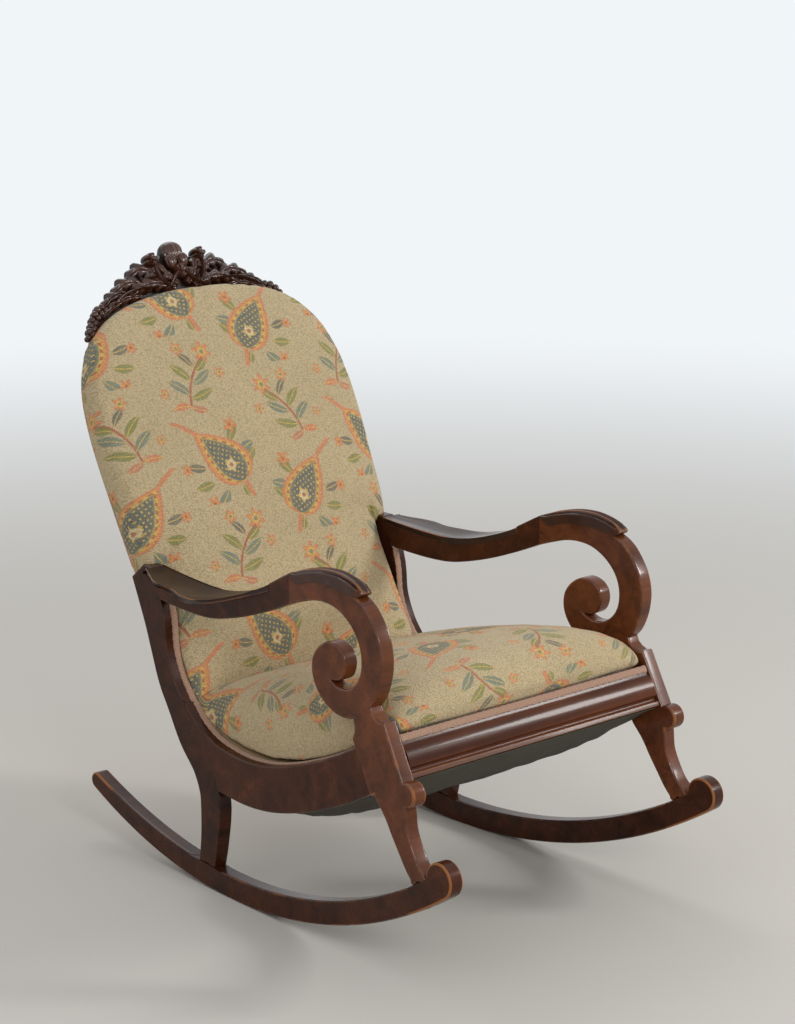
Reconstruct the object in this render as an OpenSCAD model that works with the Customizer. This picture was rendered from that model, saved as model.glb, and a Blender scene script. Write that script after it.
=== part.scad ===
// Upholstered scroll-arm rocking chair: two sawn side frames on curved rockers, a moulded
// front rail, a coil-sprung seat, a round-topped reclined back and a carved crest.
// The chair faces -Y and stands on z = 0. In a side outline the first number is the distance
// forward of the point where the rockers touch the floor, and the second is the height.
// On the back the first number goes across, and the second up the slope of the back.

/* [Side frames] */
// Width over the side frames, level with the floor contact
frame_w = 580; // [540:1:620]
// Thickness of the side boards
board_t = 27; // [23:1:31]
// Angle by which each side frame opens towards the front
splay = 2.5; // [1:0.1:4]
// Length to which the side outlines are drawn
side_l = 1000; // [950:1:1050]
// Height to which the side outlines are drawn
side_h = 650; // [620:1:680]
// Width of the rear post at the arm
stile_w = 66; // [58:1:72]
// Width of the rear post at its narrowest
stile_waist_w = 49; // [42:1:54]
// Width of the rear leg at the foot
rear_foot_w = 45; // [38:1:52]
// Depth of the curved side rail
rail_d = 80; // [70:1:88]
// Width of the front post
post_w = 90; // [80:1:98]
// Diameter of the round knee on the front leg
knee_d = 42; // [36:1:48]
// Width of the front leg above the rocker
ankle_w = 35; // [30:1:40]

/* [Rockers] */
// Radius of the rocker sole
rocker_r = 1020; // [960:1:1100]
// Depth of the rocker under the legs
rocker_h = 42; // [36:1:48]
// Depth of the rocker at its rear end
rocker_tail_h = 30; // [24:1:34]
// Distance from the floor contact back to the rounded rear end
rocker_back = 412; // [370:1:450]
// Distance from the floor contact forward to the middle of the curl
rocker_front = 552; // [540:1:570]
// Diameter of the up-turned curl
curl_d = 60; // [54:1:66]
// Depth of the worn flat under each rocker
sole_wear = 0.2; // [0.1:0.05:0.5]

/* [Arms] */
// Depth of the arm at the rear post
arm_d = 51; // [44:1:56]
// Depth of the arm at its slimmest
arm_waist_d = 42; // [36:1:46]
// Thickness of the elbow rest
wing_t = 11; // [9:0.5:14]
// How far the elbow rest stands out beyond the side board
wing_out = 50; // [40:1:58]
// Width of the moulded arm cap
cap_w = 31; // [29:1:34]
// Width of the raised rib along the arm cap
cap_rib_w = 13; // [9:1:17]
// Depth of the coves beside the rib
cap_cove_d = 7; // [4:1:9]

/* [Seat] */
// Height of the front rail along its slope
front_rail_h = 61; // [54:1:68]
// Thickness of the front rail
front_rail_t = 32; // [28:1:36]
// How far the rail stands back from the front of the posts
front_rail_back = 5; // [2:1:9]
// How far the round moulding of the front rail stands out
bolection_d = 6; // [4:1:8]
// Height of the rear seat rail
rear_rail_h = 74; // [64:1:80]
// Thickness of the hidden rails
hidden_rail_t = 25; // [20:1:28]
// Width of a webbing strip
web_w = 50; // [40:1:56]
// Thickness of webbing
web_t = 2; // [1.5:0.1:2.5]
// Outside diameter of a seat spring at its ends
spring_d = 76; // [64:1:84]
// Outside diameter of a seat spring at its waist
spring_waist_d = 50; // [40:1:58]
// Diameter of the spring wire
spring_wire_d = 3.6; // [3:0.1:4.2]
// Thickness of the hessian over the springs
hessian_t = 1.6; // [1.2:0.1:2.2]
// Thickness of the dust cover
dust_t = 1.2; // [1:0.1:2]

/* [Back] */
// Width of the upholstered back at its widest
back_w = 580; // [560:1:600]
// Lean of the back from upright
back_lean = 26.5; // [22:0.5:30]
// Height of the upholstered back above the arms, along its slope
back_top = 489; // [460:1:520]
// Reach of the upholstered back below the arms, along its slope
back_drop = 240; // [225:1:250]
// Thickness of the padded edge of the back
back_edge_t = 46; // [40:1:52]
// Thickness of the back at its crown
back_crown_t = 88; // [80:1:96]
// Thickness of the padding round the sides of the back frame
back_side_pad = 12; // [8:1:16]
// Width of the hidden back uprights
upright_w = 46; // [40:1:52]
// Thickness of the hidden back frame
back_frame_t = 27; // [22:1:30]
// Thickness of the outside back cover
skin_t = 2.4; // [1.6:0.1:3]

/* [Crest] */
// Height of the carved crest above the back at its middle
crest_h = 97; // [88:1:106]
// Thickness of the carved crest
crest_t = 20; // [16:1:26]
// Height of the raised carving on the crest
relief_d = 9; // [6:1:12]
// Diameter of the fruit at the middle of the crest
fruit_d = 50; // [42:1:56]
// Diameter of a flower head beside the fruit
flower_d = 24; // [18:1:28]
// Diameter of a berry at the crest's ends
berry_d = 13; // [10:1:16]
// Width of the carved leaves
leaf_w = 27; // [20:1:30]

/* [Trim and fixings] */
// Width of the gimp braid
gimp_w = 12; // [10:1:14]
// Thickness of the gimp braid
gimp_t = 2.4; // [1.8:0.1:3]
// Diameter of a dowel
dowel_d = 9; // [8:1:11]
// Length of a dowel
dowel_l = 36; // [30:1:42]
// Diameter of a rocker screw
screw_d = 4.8; // [4:0.1:5.5]
// Diameter of a rocker screw's head
screw_head_d = 9; // [8:0.5:10]
// Length of a rocker screw
screw_l = 62; // [54:1:70]
// Depth of the counterbore over a screw head
sink_d = 10; // [8:1:14]
// Clearance round a pin in its hole
pin_fit = 0.15; // [0.1:0.05:0.25]
// Gap left between soft pieces and their neighbours
soft_gap = 0.3; // [0.2:0.05:0.5]

/* [Hidden] */

wood = "#4a1c10";
worn_wood = "#6b2d17";
hidden_wood = "#b98a55";
cloth = "#b3a37f";
braid = "#c88a74";
steel = "#8d9095";
jute = "#a58a5c";
cambric = "#23262a";

curve_steps = 5;
ring_fn = 360;
hole_fn = 48;
below = board_t;

// Curves

function lerp(a, b, t) = a + (b - a) * t;
function bend(a, b, c, d, t) =
    (2 * b + (c - a) * t + (2 * a - 5 * b + 4 * c - d) * t * t
        + (3 * b - a - 3 * c + d) * t * t * t) / 2;
function at(p, i) = p[max(0, min(len(p) - 1, i))];
// Smooth line through every point of p
function smooth(p, steps = curve_steps) = concat(
    [for (i = [0:len(p) - 2], j = [0:steps - 1])
        bend(at(p, i - 1), p[i], p[i + 1], at(p, i + 2), j / steps)],
    [p[len(p) - 1]]);
function flat2(p) = [for (q = p) [q[0], q[1]]];
function heading(p, i) = at(p, i + 1) - at(p, i - 1);
function left_of(v) = [-v[1], v[0]] / norm(v);
// The line p moved to its left by d
function beside(p, d) = [for (i = [0:len(p) - 1]) p[i] + left_of(heading(p, i)) * d];
function reversed(p) = [for (i = [len(p) - 1:-1:0]) p[i]];
// Outline of a board that follows stations of [forward, height, width]
function board_edge(s, side) = let (line = smooth(s), mid = flat2(line))
    [for (i = [0:len(mid) - 1]) mid[i] + left_of(heading(mid, i)) * side * line[i][2] / 2];
function board_outline(s) = concat(board_edge(s, -1), reversed(board_edge(s, 1)));
function wider(s, d) = [for (q = s) [q[0], q[1], q[2] + d]];
function place(share) = [share[0] * side_l, share[1] * side_h];
function places(shares) = [for (q = shares) place(q)];
function stations(shares, widths) =
    [for (i = [0:len(shares) - 1]) concat(place(shares[i]), [widths[i]])];
// Height of a line of points at distance f forward
function height_at(p, f) = lookup(f, p);

// Side outlines, as shares of side_l and side_h

rear_post_shares = [
    [-0.266, 0.857], [-0.222, 0.717], [-0.204, 0.614], [-0.184, 0.538], [-0.157, 0.478],
    [-0.122, 0.403], [-0.082, 0.342], [-0.062, 0.277], [-0.058, 0.217], [-0.063, 0.134],
    [-0.071, 0.068], [-0.082, 0]
];
rear_post_width_shares = [1.02, 1, 0, 0, 0.18, 0.55, 0.75, 0.6, 0.55, 0.2, 0, 0];
rear_post_stations = stations(rear_post_shares, [for (i = [0:len(rear_post_shares) - 1])
    lerp(i < 6 ? stile_waist_w : rear_foot_w, stile_w, rear_post_width_shares[i])]);
stile_top_share = [-0.283, 0.792];
stile_cut_angle = 39;
arm_rear_share = -0.236;
arm_rear_f = side_l * arm_rear_share;

side_rail_shares = [
    [-0.155, 0.449], [-0.118, 0.397], [-0.065, 0.358], [0, 0.343], [0.06, 0.342],
    [0.125, 0.357], [0.2, 0.392], [0.29, 0.449], [0.35, 0.497], [0.412, 0.548]
];
side_rail_stations = stations(side_rail_shares,
    [for (q = side_rail_shares) q[0] < 0 ? rail_d * 1.04 : rail_d]);

post_front_top = place([0.416, 0.651]);
post_front_bottom = place([0.463, 0.515]);
post_down = (post_front_bottom - post_front_top) / norm(post_front_bottom - post_front_top);
post_out = left_of(post_down);
post_angle = atan2(post_out[1], post_out[0]);
scroll_foot_rear = place([0.338, 0.631]);
scroll_foot_front = place([0.383, 0.678]);
post_outline = concat(
    [post_front_bottom - post_out * post_w, post_front_bottom, post_front_top],
    places([[0.405, 0.648], [0.395, 0.654], [0.387, 0.664]]),
    [scroll_foot_front, scroll_foot_rear],
    places([[0.341, 0.612], [0.341, 0.6]]),
    [post_front_top - post_out * post_w]);
knee_at = post_front_bottom + post_down * knee_d * 0.46 - post_out * knee_d * 0.03;
front_leg_shares = [
    [0.418, 0.512], [0.432, 0.471], [0.443, 0.428], [0.453, 0.388], [0.468, 0.348], [0.484, 0.312],
    [0.503, 0.282], [0.535, 0.226]
];
front_leg_width_shares = [2.2, 2.25, 1.65, 1.25, 1.06, 1, 1, 1.04];
front_leg_stations = stations(front_leg_shares, front_leg_width_shares * ankle_w);

arm_shares = [
    [-0.3, 0.805], [-0.215, 0.797], [-0.154, 0.791], [-0.1, 0.789], [-0.05, 0.792],
    [0, 0.806], [0.05, 0.828], [0.105, 0.86], [0.173, 0.91], [0.2, 0.93]
];
arm_width_shares = [1, 1, 1, 0.95, 0.7, 0.2, 0, 0, 0.65, 0.7];
arm_stations = stations(arm_shares, [for (t = arm_width_shares) lerp(arm_waist_d, arm_d, t)]);
arm_top_line = board_edge(arm_stations, 1);
arm_joint_share = 0.173;
arm_joint_f = side_l * arm_joint_share;
scroll_inner_shares = [
    [0.15, 0.857], [0.173, 0.869], [0.205, 0.886], [0.237, 0.9], [0.268, 0.904], [0.298, 0.897],
    [0.327, 0.874], [0.348, 0.841], [0.358, 0.802], [0.357, 0.76], [0.346, 0.727],
    [0.326, 0.705], [0.305, 0.699], [0.29, 0.703], [0.28, 0.711]
];
scroll_eye_shares = [
    [0.28, 0.711], [0.297, 0.714], [0.312, 0.729], [0.319, 0.758], [0.315, 0.786],
    [0.3, 0.805], [0.277, 0.81], [0.253, 0.793], [0.236, 0.765], [0.23, 0.734],
    [0.233, 0.701], [0.245, 0.67], [0.264, 0.645], [0.292, 0.627], [0.32, 0.625],
    [0.338, 0.631]
];
scroll_outer_shares = [
    [0.383, 0.678], [0.396, 0.702], [0.408, 0.745], [0.413, 0.793], [0.409, 0.838],
    [0.396, 0.88], [0.373, 0.922], [0.345, 0.945], [0.31, 0.952], [0.266, 0.954],
    [0.229, 0.946], [0.2, 0.932], [0.186, 0.934], [0.175, 0.949], [0.16, 0.957], [0.15, 0.957]
];
cap_top_shares = [
    [0.15, 0.944], [0.173, 0.951], [0.205, 0.969], [0.25, 0.986], [0.29, 0.991],
    [0.32, 0.986], [0.341, 0.977], [0.353, 0.966]
];
cap_nose_shares = [[0.357, 0.957], [0.354, 0.948], [0.343, 0.943], [0.33, 0.935]];
cap_edge_end_share = 0.344;
cap_edge_end_f = side_l * cap_edge_end_share;
wing_end_share = 0.118;
wing_end_f = side_l * wing_end_share;
// Reach of the elbow rest beyond the board, from its rear end to its front end
wing_reach_shares = [
    [0, 0.2], [0.07, 0.4], [0.18, 0.7], [0.32, 0.7], [0.45, 0.9], [0.57, 1], [0.68, 0.93],
    [0.8, 0.66], [0.9, 0.34], [1, 0]
];

module upper_half(p, angle) {
    translate(p) rotate(angle) translate([-side_l, 0]) square([2 * side_l, side_h]);
}

module ahead_of(f) {
    translate([f, -below]) square([side_l, 2 * side_h]);
}

rocker_c = [0, rocker_r - sole_wear];
tail_angle = asin(rocker_back / (rocker_r - rocker_tail_h / 2));
curl_angle = asin(rocker_front / (rocker_r - curl_d / 2));
function on_rocker(r, a) = rocker_c + [r * sin(a), -r * cos(a)];
tail_top = on_rocker(rocker_r - rocker_tail_h, -tail_angle);
tail_rise = tail_top[1] - (rocker_h - sole_wear);
tail_r = (tail_top[0] * tail_top[0] + tail_rise * tail_rise) / (2 * tail_rise);
tail_c = [0, rocker_h - sole_wear + tail_r];

module sector(a) {
    polygon([rocker_c, on_rocker(2 * rocker_r, 0), on_rocker(2 * rocker_r, a)]);
}

module rocker_2d() {
    difference() {
        union() {
            intersection() {
                difference() {
                    translate(rocker_c) circle(r = rocker_r, $fn = ring_fn);
                    translate(rocker_c) circle(r = rocker_r - rocker_h, $fn = ring_fn);
                }
                sector(curl_angle);
            }
            intersection() {
                difference() {
                    translate(rocker_c) circle(r = rocker_r, $fn = ring_fn);
                    translate(tail_c) circle(r = tail_r, $fn = ring_fn);
                }
                sector(-tail_angle);
            }
            translate(on_rocker(rocker_r - rocker_tail_h / 2, -tail_angle))
                circle(d = rocker_tail_h, $fn = hole_fn);
            translate(on_rocker(rocker_r - curl_d / 2, curl_angle))
                circle(d = curl_d, $fn = hole_fn);
        }
        translate([-side_l / 2, -side_h]) square([side_l, side_h]);
    }
}

module rear_board_2d() {
    intersection() {
        polygon(board_outline(rear_post_stations));
        translate(tail_c) circle(r = tail_r, $fn = ring_fn);
    }
}

module rear_post_2d() {
    difference() {
        rear_board_2d();
        upper_half(place(stile_top_share), stile_cut_angle);
        upper_half([0, height_at(arm_top_line, arm_rear_f)], 0);
    }
}

// Everything ahead of the straight joint between the side rail and the front post
module post_joint_2d() {
    translate(post_front_top) rotate(post_angle) translate([-post_w, -side_h])
        square([side_l, 2 * side_h]);
}

module front_post_2d() {
    intersection() {
        union() {
            polygon(post_outline);
            translate(knee_at) circle(d = knee_d, $fn = hole_fn);
            polygon(board_outline(front_leg_stations));
        }
        translate(rocker_c) circle(r = rocker_r - rocker_h, $fn = ring_fn);
    }
}

module side_rail_2d() {
    difference() {
        polygon(board_outline(side_rail_stations));
        polygon(concat(board_edge(rear_post_stations, 1), [[-side_l, 0], [-side_l, side_h]]));
        post_joint_2d();
    }
}

module arm_2d() {
    difference() {
        intersection() {
            polygon(board_outline(arm_stations));
            ahead_of(arm_rear_f);
        }
        rear_board_2d();
        ahead_of(arm_joint_f);
    }
}

module wing_2d() {
    intersection() {
        difference() {
            arm_2d();
            translate([0, -wing_t]) polygon(board_outline(arm_stations));
        }
        translate([-side_l + wing_end_f, 0]) square([side_l, side_h]);
    }
}

module scroll_2d() {
    intersection() {
        polygon(concat(smooth(places(scroll_inner_shares)), smooth(places(scroll_eye_shares)),
            smooth(places(scroll_outer_shares))));
        ahead_of(arm_joint_f);
    }
}

module cap_2d() {
    difference() {
        intersection() {
            polygon(concat(smooth(places(cap_top_shares)), smooth(places(cap_nose_shares)),
                [for (q = scroll_outer_shares) if (q[0] < cap_nose_shares[3][0]) place(q)]));
            ahead_of(arm_joint_f);
        }
        scroll_2d();
    }
}

// Placing the side boards

front_reach = on_rocker(rocker_r - curl_d / 2, curl_angle)[0] + curl_d / 2;
stile_top = place(stile_top_share);
back_reach = (back_top + crest_h) * sin(back_lean) - stile_top[0];
stance = (front_reach - back_reach) / 2;

// Puts what is drawn against the sitter's right side board, whose outer face is x = 0
module on_side(side) {
    mirror([side > 0 ? 1 : 0, 0, 0])
        translate([-frame_w / 2, stance, 0]) rotate([0, 0, -splay]) children();
}

// A side outline sawn from a board of thickness t, set in from the outer face
module sawn(t = board_t, inset = 0) {
    translate([inset + t, 0, 0]) rotate([90, 0, -90]) linear_extrude(t) children();
}

// Half the space between the side boards, f forward of the floor contact
function half_in(f) = frame_w / 2 - board_t / cos(splay) + f * tan(splay);

module between_sides(gap = 0) {
    linear_extrude(2 * side_h + back_top) polygon([
        [-half_in(-side_l) + gap, side_l + stance], [-half_in(side_l) + gap, stance - side_l],
        [half_in(side_l) - gap, stance - side_l], [half_in(-side_l) - gap, side_l + stance]]);
}

// A side outline carried right across between the side boards
module across(gap = 0) {
    intersection() {
        translate([frame_w, stance, 0]) rotate([90, 0, -90]) linear_extrude(2 * frame_w)
            children();
        between_sides(gap);
    }
}

// Solid skin over rings of points, each ring closed and all of one length
module loft(rings) {
    n = len(rings[0]);
    m = len(rings);
    polyhedron(
        points = [for (r = rings, p = r) p],
        faces = concat(
            [[for (j = [0:n - 1]) j]],
            [[for (j = [n - 1:-1:0]) (m - 1) * n + j]],
            [for (i = [0:m - 2], j = [0:n - 1], half = [0, 1])
                let (a = i * n + j, b = i * n + (j + 1) % n)
                half == 0 ? [a, a + n, b + n] : [a, b + n, b]]));
}

// Frame of the back: origin on the rear face at the top of the rear posts

module on_back() {
    translate([0, stance - stile_top[0], stile_top[1]]) rotate([90 - back_lean, 0, 0]) children();
}
// A place on the back's middle plane as a side place
function side_at(s, n) = [stile_top[0] - s * sin(back_lean) + n * cos(back_lean),
    stile_top[1] + s * cos(back_lean) + n * sin(back_lean)];

back_outline_shares = [
    [0.975, 0.03], [0.988, 0.2], [1, 0.42], [0.995, 0.56], [0.968, 0.68], [0.905, 0.785],
    [0.8, 0.868], [0.66, 0.928], [0.48, 0.968], [0.25, 0.992], [0, 1]
];
back_half_line = smooth([for (q = back_outline_shares) [q[0] * back_w / 2, q[1] * back_top]], 3);
back_line = concat(back_half_line,
    reversed([for (q = back_half_line) if (q[0] > 0) [-q[0], q[1]]]));
frame_back_n = skin_t + soft_gap;
frame_front_n = frame_back_n + back_frame_t;
pad_back_n = frame_front_n + web_t + soft_gap;
shoulder_s = back_half_line[0][1];
tuck_s = -back_drop;
function half_between(s, n) = half_in(side_at(s, n)[0]);
low_half = half_between(tuck_s, 0);

module back_slab(n0, t) {
    translate([0, 0, n0]) linear_extrude(t) children();
}

// Outline of the hidden back frame above the arms, d inside the padding
function frame_upper(d) = let (k = 1 - 2 * d / back_w,
        first = back_outline_shares[0][1],
        edge = [for (q = back_outline_shares) [q[0] * k * back_w / 2,
            lerp(shoulder_s + d, back_top - d, (q[1] - first) / (1 - first))]])
    concat(edge, reversed([for (q = edge) if (q[0] > 0) [-q[0], q[1]]]));

// A flat piece of the back frame, drawn across and up the back
module frame_piece() {
    intersection() {
        on_back() back_slab(frame_back_n, back_frame_t) intersection() {
            children();
            translate([-back_w, 2 * tuck_s])
                square([2 * back_w, shoulder_s - 2 * tuck_s + upright_w]);
        }
        between_sides();
    }
    on_back() back_slab(frame_back_n, back_frame_t) intersection() {
        children();
        polygon(frame_upper(back_side_pad));
    }
}

// Side frame pieces

module rocker(side) {
    color(worn_wood) difference() {
        on_side(side) sawn() rocker_2d();
        screws(side, pin_fit, true);
    }
}

module rear_post(side) {
    color(wood) difference() {
        on_side(side) sawn() rear_post_2d();
        screws(side, pin_fit, false);
        pins(side, pin_fit);
    }
}

module side_rail(side) {
    color(wood) on_side(side) sawn() side_rail_2d();
}

module front_post(side) {
    color(worn_wood) difference() {
        on_side(side) sawn() front_post_2d();
        screws(side, pin_fit, false);
        pins(side, pin_fit);
    }
}

module arm(side) {
    color(wood) on_side(side) sawn() difference() {
        arm_2d();
        wing_2d();
    }
}

module scroll(side) {
    color(wood) on_side(side) sawn() scroll_2d();
}

module elbow_rest(side) {
    reach = smooth(wing_reach_shares, 3);
    color(wood) on_side(side) intersection() {
        sawn(board_t + wing_out, -wing_out) wing_2d();
        linear_extrude(2 * side_h) polygon(concat(
            [[board_t, -wing_end_f], [board_t, -arm_rear_f]],
            [for (q = reach) [-wing_out * q[1], -lerp(arm_rear_f, wing_end_f, q[0])]]));
    }
}

module arm_cap(side) {
    cove_w = (cap_w - cap_rib_w) / 2;
    over = (cap_w - board_t) / 2;
    color(wood) on_side(side) union() {
        sawn(cap_w, -over) difference() {
            cap_2d();
            translate([0, -cap_cove_d]) upper_cap_2d();
            ahead_of(cap_edge_end_f);
        }
        sawn(cap_rib_w, cove_w - over) cap_2d();
    }
}

// The space over the cap's top edge
module upper_cap_2d() {
    top = smooth(places(cap_top_shares));
    polygon(concat(top, [top[len(top) - 1] + [side_l, 0], [side_l, 2 * side_h],
        [0, 2 * side_h], [0, top[0][1]]]));
}

// Seat frame

rail_top = post_front_top + post_down * norm(post_front_bottom - post_front_top) * 0.35
    - post_out * front_rail_back;

module front_rail_2d() {
    h = front_rail_h;
    d = bolection_d;
    fillet = h * 0.08;
    round_end = h * 0.7;
    cove_end = h * 0.88;
    translate(rail_top) rotate(post_angle) polygon(concat(
        [[-front_rail_t, gimp_w], [0, gimp_w], [0, -fillet]],
        [for (i = [0:8]) let (t = i / 8) [d * pow(sin(180 * t * 0.86), 0.7),
            -lerp(fillet, round_end, t)]],
        [for (i = [1:6]) let (t = i / 6) [-d * 0.5 * sin(180 * t) + d * 0.2 * (1 - t),
            -lerp(round_end, cove_end, t)]],
        [[d * 0.25, -cove_end], [d * 0.25, -h], [-front_rail_t, -h]]));
}

module front_rail() {
    color(worn_wood) difference() {
        across() front_rail_2d();
        pins(-1, pin_fit);
        pins(1, pin_fit);
    }
}

rear_rail_foot = place([-0.099, 0.303]);
rear_rail_angle = 39.6;
function turned(v, angle) = [v[0] * cos(angle) - v[1] * sin(angle),
    v[0] * sin(angle) + v[1] * cos(angle)];
function on_rear_rail(v) = rear_rail_foot + turned(v, rear_rail_angle);

module rear_rail_2d() {
    translate(rear_rail_foot) rotate(rear_rail_angle) square([hidden_rail_t, rear_rail_h]);
}

module rear_seat_rail() {
    color(hidden_wood) difference() {
        across() rear_rail_2d();
        pins(-1, pin_fit);
        pins(1, pin_fit);
    }
}

rear_cover_shares = [[-0.175, 0.457], [-0.157, 0.412], [-0.128, 0.352], [-0.1, 0.301]];

module rear_seat_cover() {
    line = smooth(places(rear_cover_shares));
    color(cloth) across(soft_gap) difference() {
        polygon(concat(line, reversed(beside(line, skin_t))));
        rear_rail_2d();
    }
}

block_leg = side_l * 0.055;
block_h = side_h * 0.062;

// Triangular blocks against a rail whose face passes through p, leaning by angle
module block_pair(p, angle, side) {
    translate([0, stance - p[0], p[1]]) rotate([-angle, 0, 0]) {
        for (s = [-1, 1]) {
            translate([s * half_in(p[0]), 0, -block_h / 2]) linear_extrude(block_h)
                polygon([[s * below, 0], [-s * block_leg, 0], [s * below, side * block_leg]]);
        }
    }
}

module corner_blocks() {
    color(hidden_wood) intersection() {
        union() {
            block_pair(rail_top - post_out * front_rail_t + post_down * front_rail_h * 0.55,
                post_angle, 1);
            block_pair(on_rear_rail([hidden_rail_t, rear_rail_h * 0.45]), rear_rail_angle, -1);
        }
        between_sides();
    }
}

// Seat filling, from the webbing up

web_shares = [
    [-0.09, 0.2865], [-0.04, 0.287], [0.01, 0.288], [0.061, 0.289], [0.103, 0.295],
    [0.148, 0.311], [0.189, 0.33], [0.291, 0.389], [0.383, 0.458], [0.436, 0.497]
];
web_line = smooth(places(web_shares));
deck_shares = [
    [-0.13, 0.486], [-0.1, 0.459], [-0.07, 0.437], [-0.015, 0.412], [0.05, 0.406],
    [0.092, 0.412], [0.155, 0.432], [0.225, 0.469], [0.292, 0.515], [0.345, 0.561],
    [0.385, 0.588], [0.412, 0.6]
];
deck_line = smooth(places(deck_shares));
crown_shares = [
    [-0.108, 0.518], [-0.062, 0.556], [-0.01, 0.592], [0.055, 0.63], [0.125, 0.664],
    [0.195, 0.692], [0.262, 0.716], [0.322, 0.73], [0.368, 0.73], [0.404, 0.718],
    [0.427, 0.688], [0.434, 0.652], [0.426, 0.618]
];

module strip_2d(line, lift, t) {
    raised = [for (q = line) q + [0, lift]];
    polygon(concat(raised, reversed([for (q = raised) q + [0, t]])));
}

long_web_shares = [-0.78, -0.39, 0, 0.39, 0.78];
cross_web_shares = [0.08, 0.27, 0.48, 0.69, 0.9];

module seat_webbing_long() {
    color(jute) intersection() {
        across() strip_2d(web_line, 0, web_t);
        union() {
            for (q = long_web_shares) {
                translate([q * half_in(0) - web_w / 2, stance - side_l, 0])
                    cube([web_w, 2 * side_l, side_h]);
            }
        }
    }
}

function cross_web_f(q) = lerp(on_rear_rail([hidden_rail_t, 0])[0],
    rail_top[0] - front_rail_t, q);

module seat_webbing_cross() {
    color(jute) across() intersection() {
        strip_2d(web_line, web_t, web_t);
        union() {
            for (q = cross_web_shares) {
                translate([cross_web_f(q) - web_w / 2, 0]) square([web_w, side_h]);
            }
        }
    }
}

module spring_space_2d() {
    polygon(concat([for (q = web_line) q + [0, 2 * web_t]],
        reversed([for (q = deck_line) q - [0, 2 * soft_gap + hessian_t]])));
}

module spring() {
    r = spring_d / 2;
    w = spring_waist_d / 2;
    h = side_h;
    rise = rail_d * 1.1;
    rotate_extrude($fn = hole_fn) polygon(concat(
        [for (i = [-6:6]) [lerp(w, r, pow(abs(i) / 6, 2)), rise * i / 6]],
        [for (i = [6:-1:-6]) [lerp(w, r, pow(abs(i) / 6, 2)) - spring_wire_d, rise * i / 6]]));
}

module seat_springs() {
    spring_rows = [1, 2, 3];
    color(steel) intersection() {
        union() {
            for (i = spring_rows, j = [1, 2, 3]) {
                f = cross_web_f(cross_web_shares[i]);
                x = long_web_shares[j] * half_in(0);
                z = (height_at(web_line, f) + height_at(deck_line, f)) / 2;
                translate([x, stance - f, z]) spring();
            }
        }
        translate([frame_w, stance, 0]) rotate([90, 0, -90]) linear_extrude(2 * frame_w)
            spring_space_2d();
    }
}

module spring_cover() {
    color(jute) across(soft_gap) difference() {
        strip_2d(deck_line, -hessian_t - soft_gap, hessian_t);
        offset(delta = soft_gap) front_rail_2d();
    }
}

// Rounded section of a cushion, from one side over the top to the other
section_steps = 16;
// The lower this share, the squarer the seat's sides
corner_share = 0.62;
function section(w, base, rise) = [for (i = [0:section_steps])
    let (a = 180 * i / section_steps, c = cos(a), s = max(0, sin(a)))
    let (x = w * sign(c) * pow(abs(c), corner_share), h = pow(s, corner_share))
    [x, stance - lerp(base[0], rise[0], h), lerp(base[1], rise[1], h)]];

seat_base_shares = [
    [-0.13, 0.486], [-0.1, 0.459], [-0.05, 0.424], [0.012, 0.408], [0.085, 0.41],
    [0.155, 0.432], [0.225, 0.469], [0.292, 0.515], [0.345, 0.561], [0.38, 0.585],
    [0.402, 0.595], [0.408, 0.598], [0.411, 0.6]
];

module seat_cushion() {
    lift = [0, soft_gap];
    base = [for (q = places(seat_base_shares)) [q[0], height_at(deck_line, q[0])] + lift];
    crown = places(crown_shares);
    color(cloth) difference() {
        loft([for (i = [0:len(base) - 1])
            section(half_in(base[i][0]) - soft_gap, base[i], crown[i])]);
        across() translate(rail_top) rotate(post_angle)
            translate([-front_rail_t - soft_gap, -front_rail_h])
            square([front_rail_t + front_rail_h, front_rail_h + gimp_w + soft_gap]);
    }
}

dust_shares = [
    [-0.09, 0.2835], [-0.04, 0.279], [0.03, 0.269], [0.1, 0.27], [0.19, 0.299],
    [0.28, 0.349], [0.36, 0.418]
];
// Tacked flat to the underside of the front rail
rail_foot = rail_top + post_down * (front_rail_h + dust_t + soft_gap);

module dust_cover() {
    color(cambric) across(soft_gap) strip_2d(concat(
        smooth(concat(places(dust_shares), [rail_foot - post_out * front_rail_t])),
        [rail_foot - post_out * front_rail_t * 0.2]), 0, dust_t);
}

// Back

inner_half = min(low_half, back_w / 2 - back_side_pad) - upright_w;
crest_rail_s = back_top * 0.7;
bottom_rail_h = back_drop * 0.22;

module back_uprights() {
    color(hidden_wood) difference() {
        frame_piece() difference() {
            translate([-back_w, tuck_s]) square([2 * back_w, crest_rail_s - tuck_s]);
            translate([-inner_half, 2 * tuck_s])
                square([2 * inner_half, back_top - 2 * tuck_s]);
        }
        pins(-1, pin_fit);
        pins(1, pin_fit);
    }
}

module back_bottom_rail() {
    color(hidden_wood) frame_piece() translate([-inner_half, tuck_s])
        square([2 * inner_half, bottom_rail_h]);
}

module crest_rail() {
    arch_r = back_w * 0.42;
    color(hidden_wood) on_back() back_slab(frame_back_n, back_frame_t) difference() {
        intersection() {
            polygon(frame_upper(back_side_pad));
            translate([-back_w, crest_rail_s]) square([2 * back_w, back_top]);
        }
        intersection() {
            translate([0, crest_rail_s - back_w * 0.25]) circle(r = arch_r, $fn = ring_fn);
            translate([-inner_half, 0]) square([2 * inner_half, 2 * back_top]);
        }
    }
}

module back_webbing() {
    strips = 5;
    span = back_top * 0.62 - tuck_s;
    half = inner_half + upright_w * 0.7;
    color(jute) on_back() back_slab(frame_front_n, web_t) {
        for (i = [0:strips - 1]) {
            translate([-half, tuck_s + span * (i + 0.6) / strips]) square([2 * half, web_w]);
        }
    }
}

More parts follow.
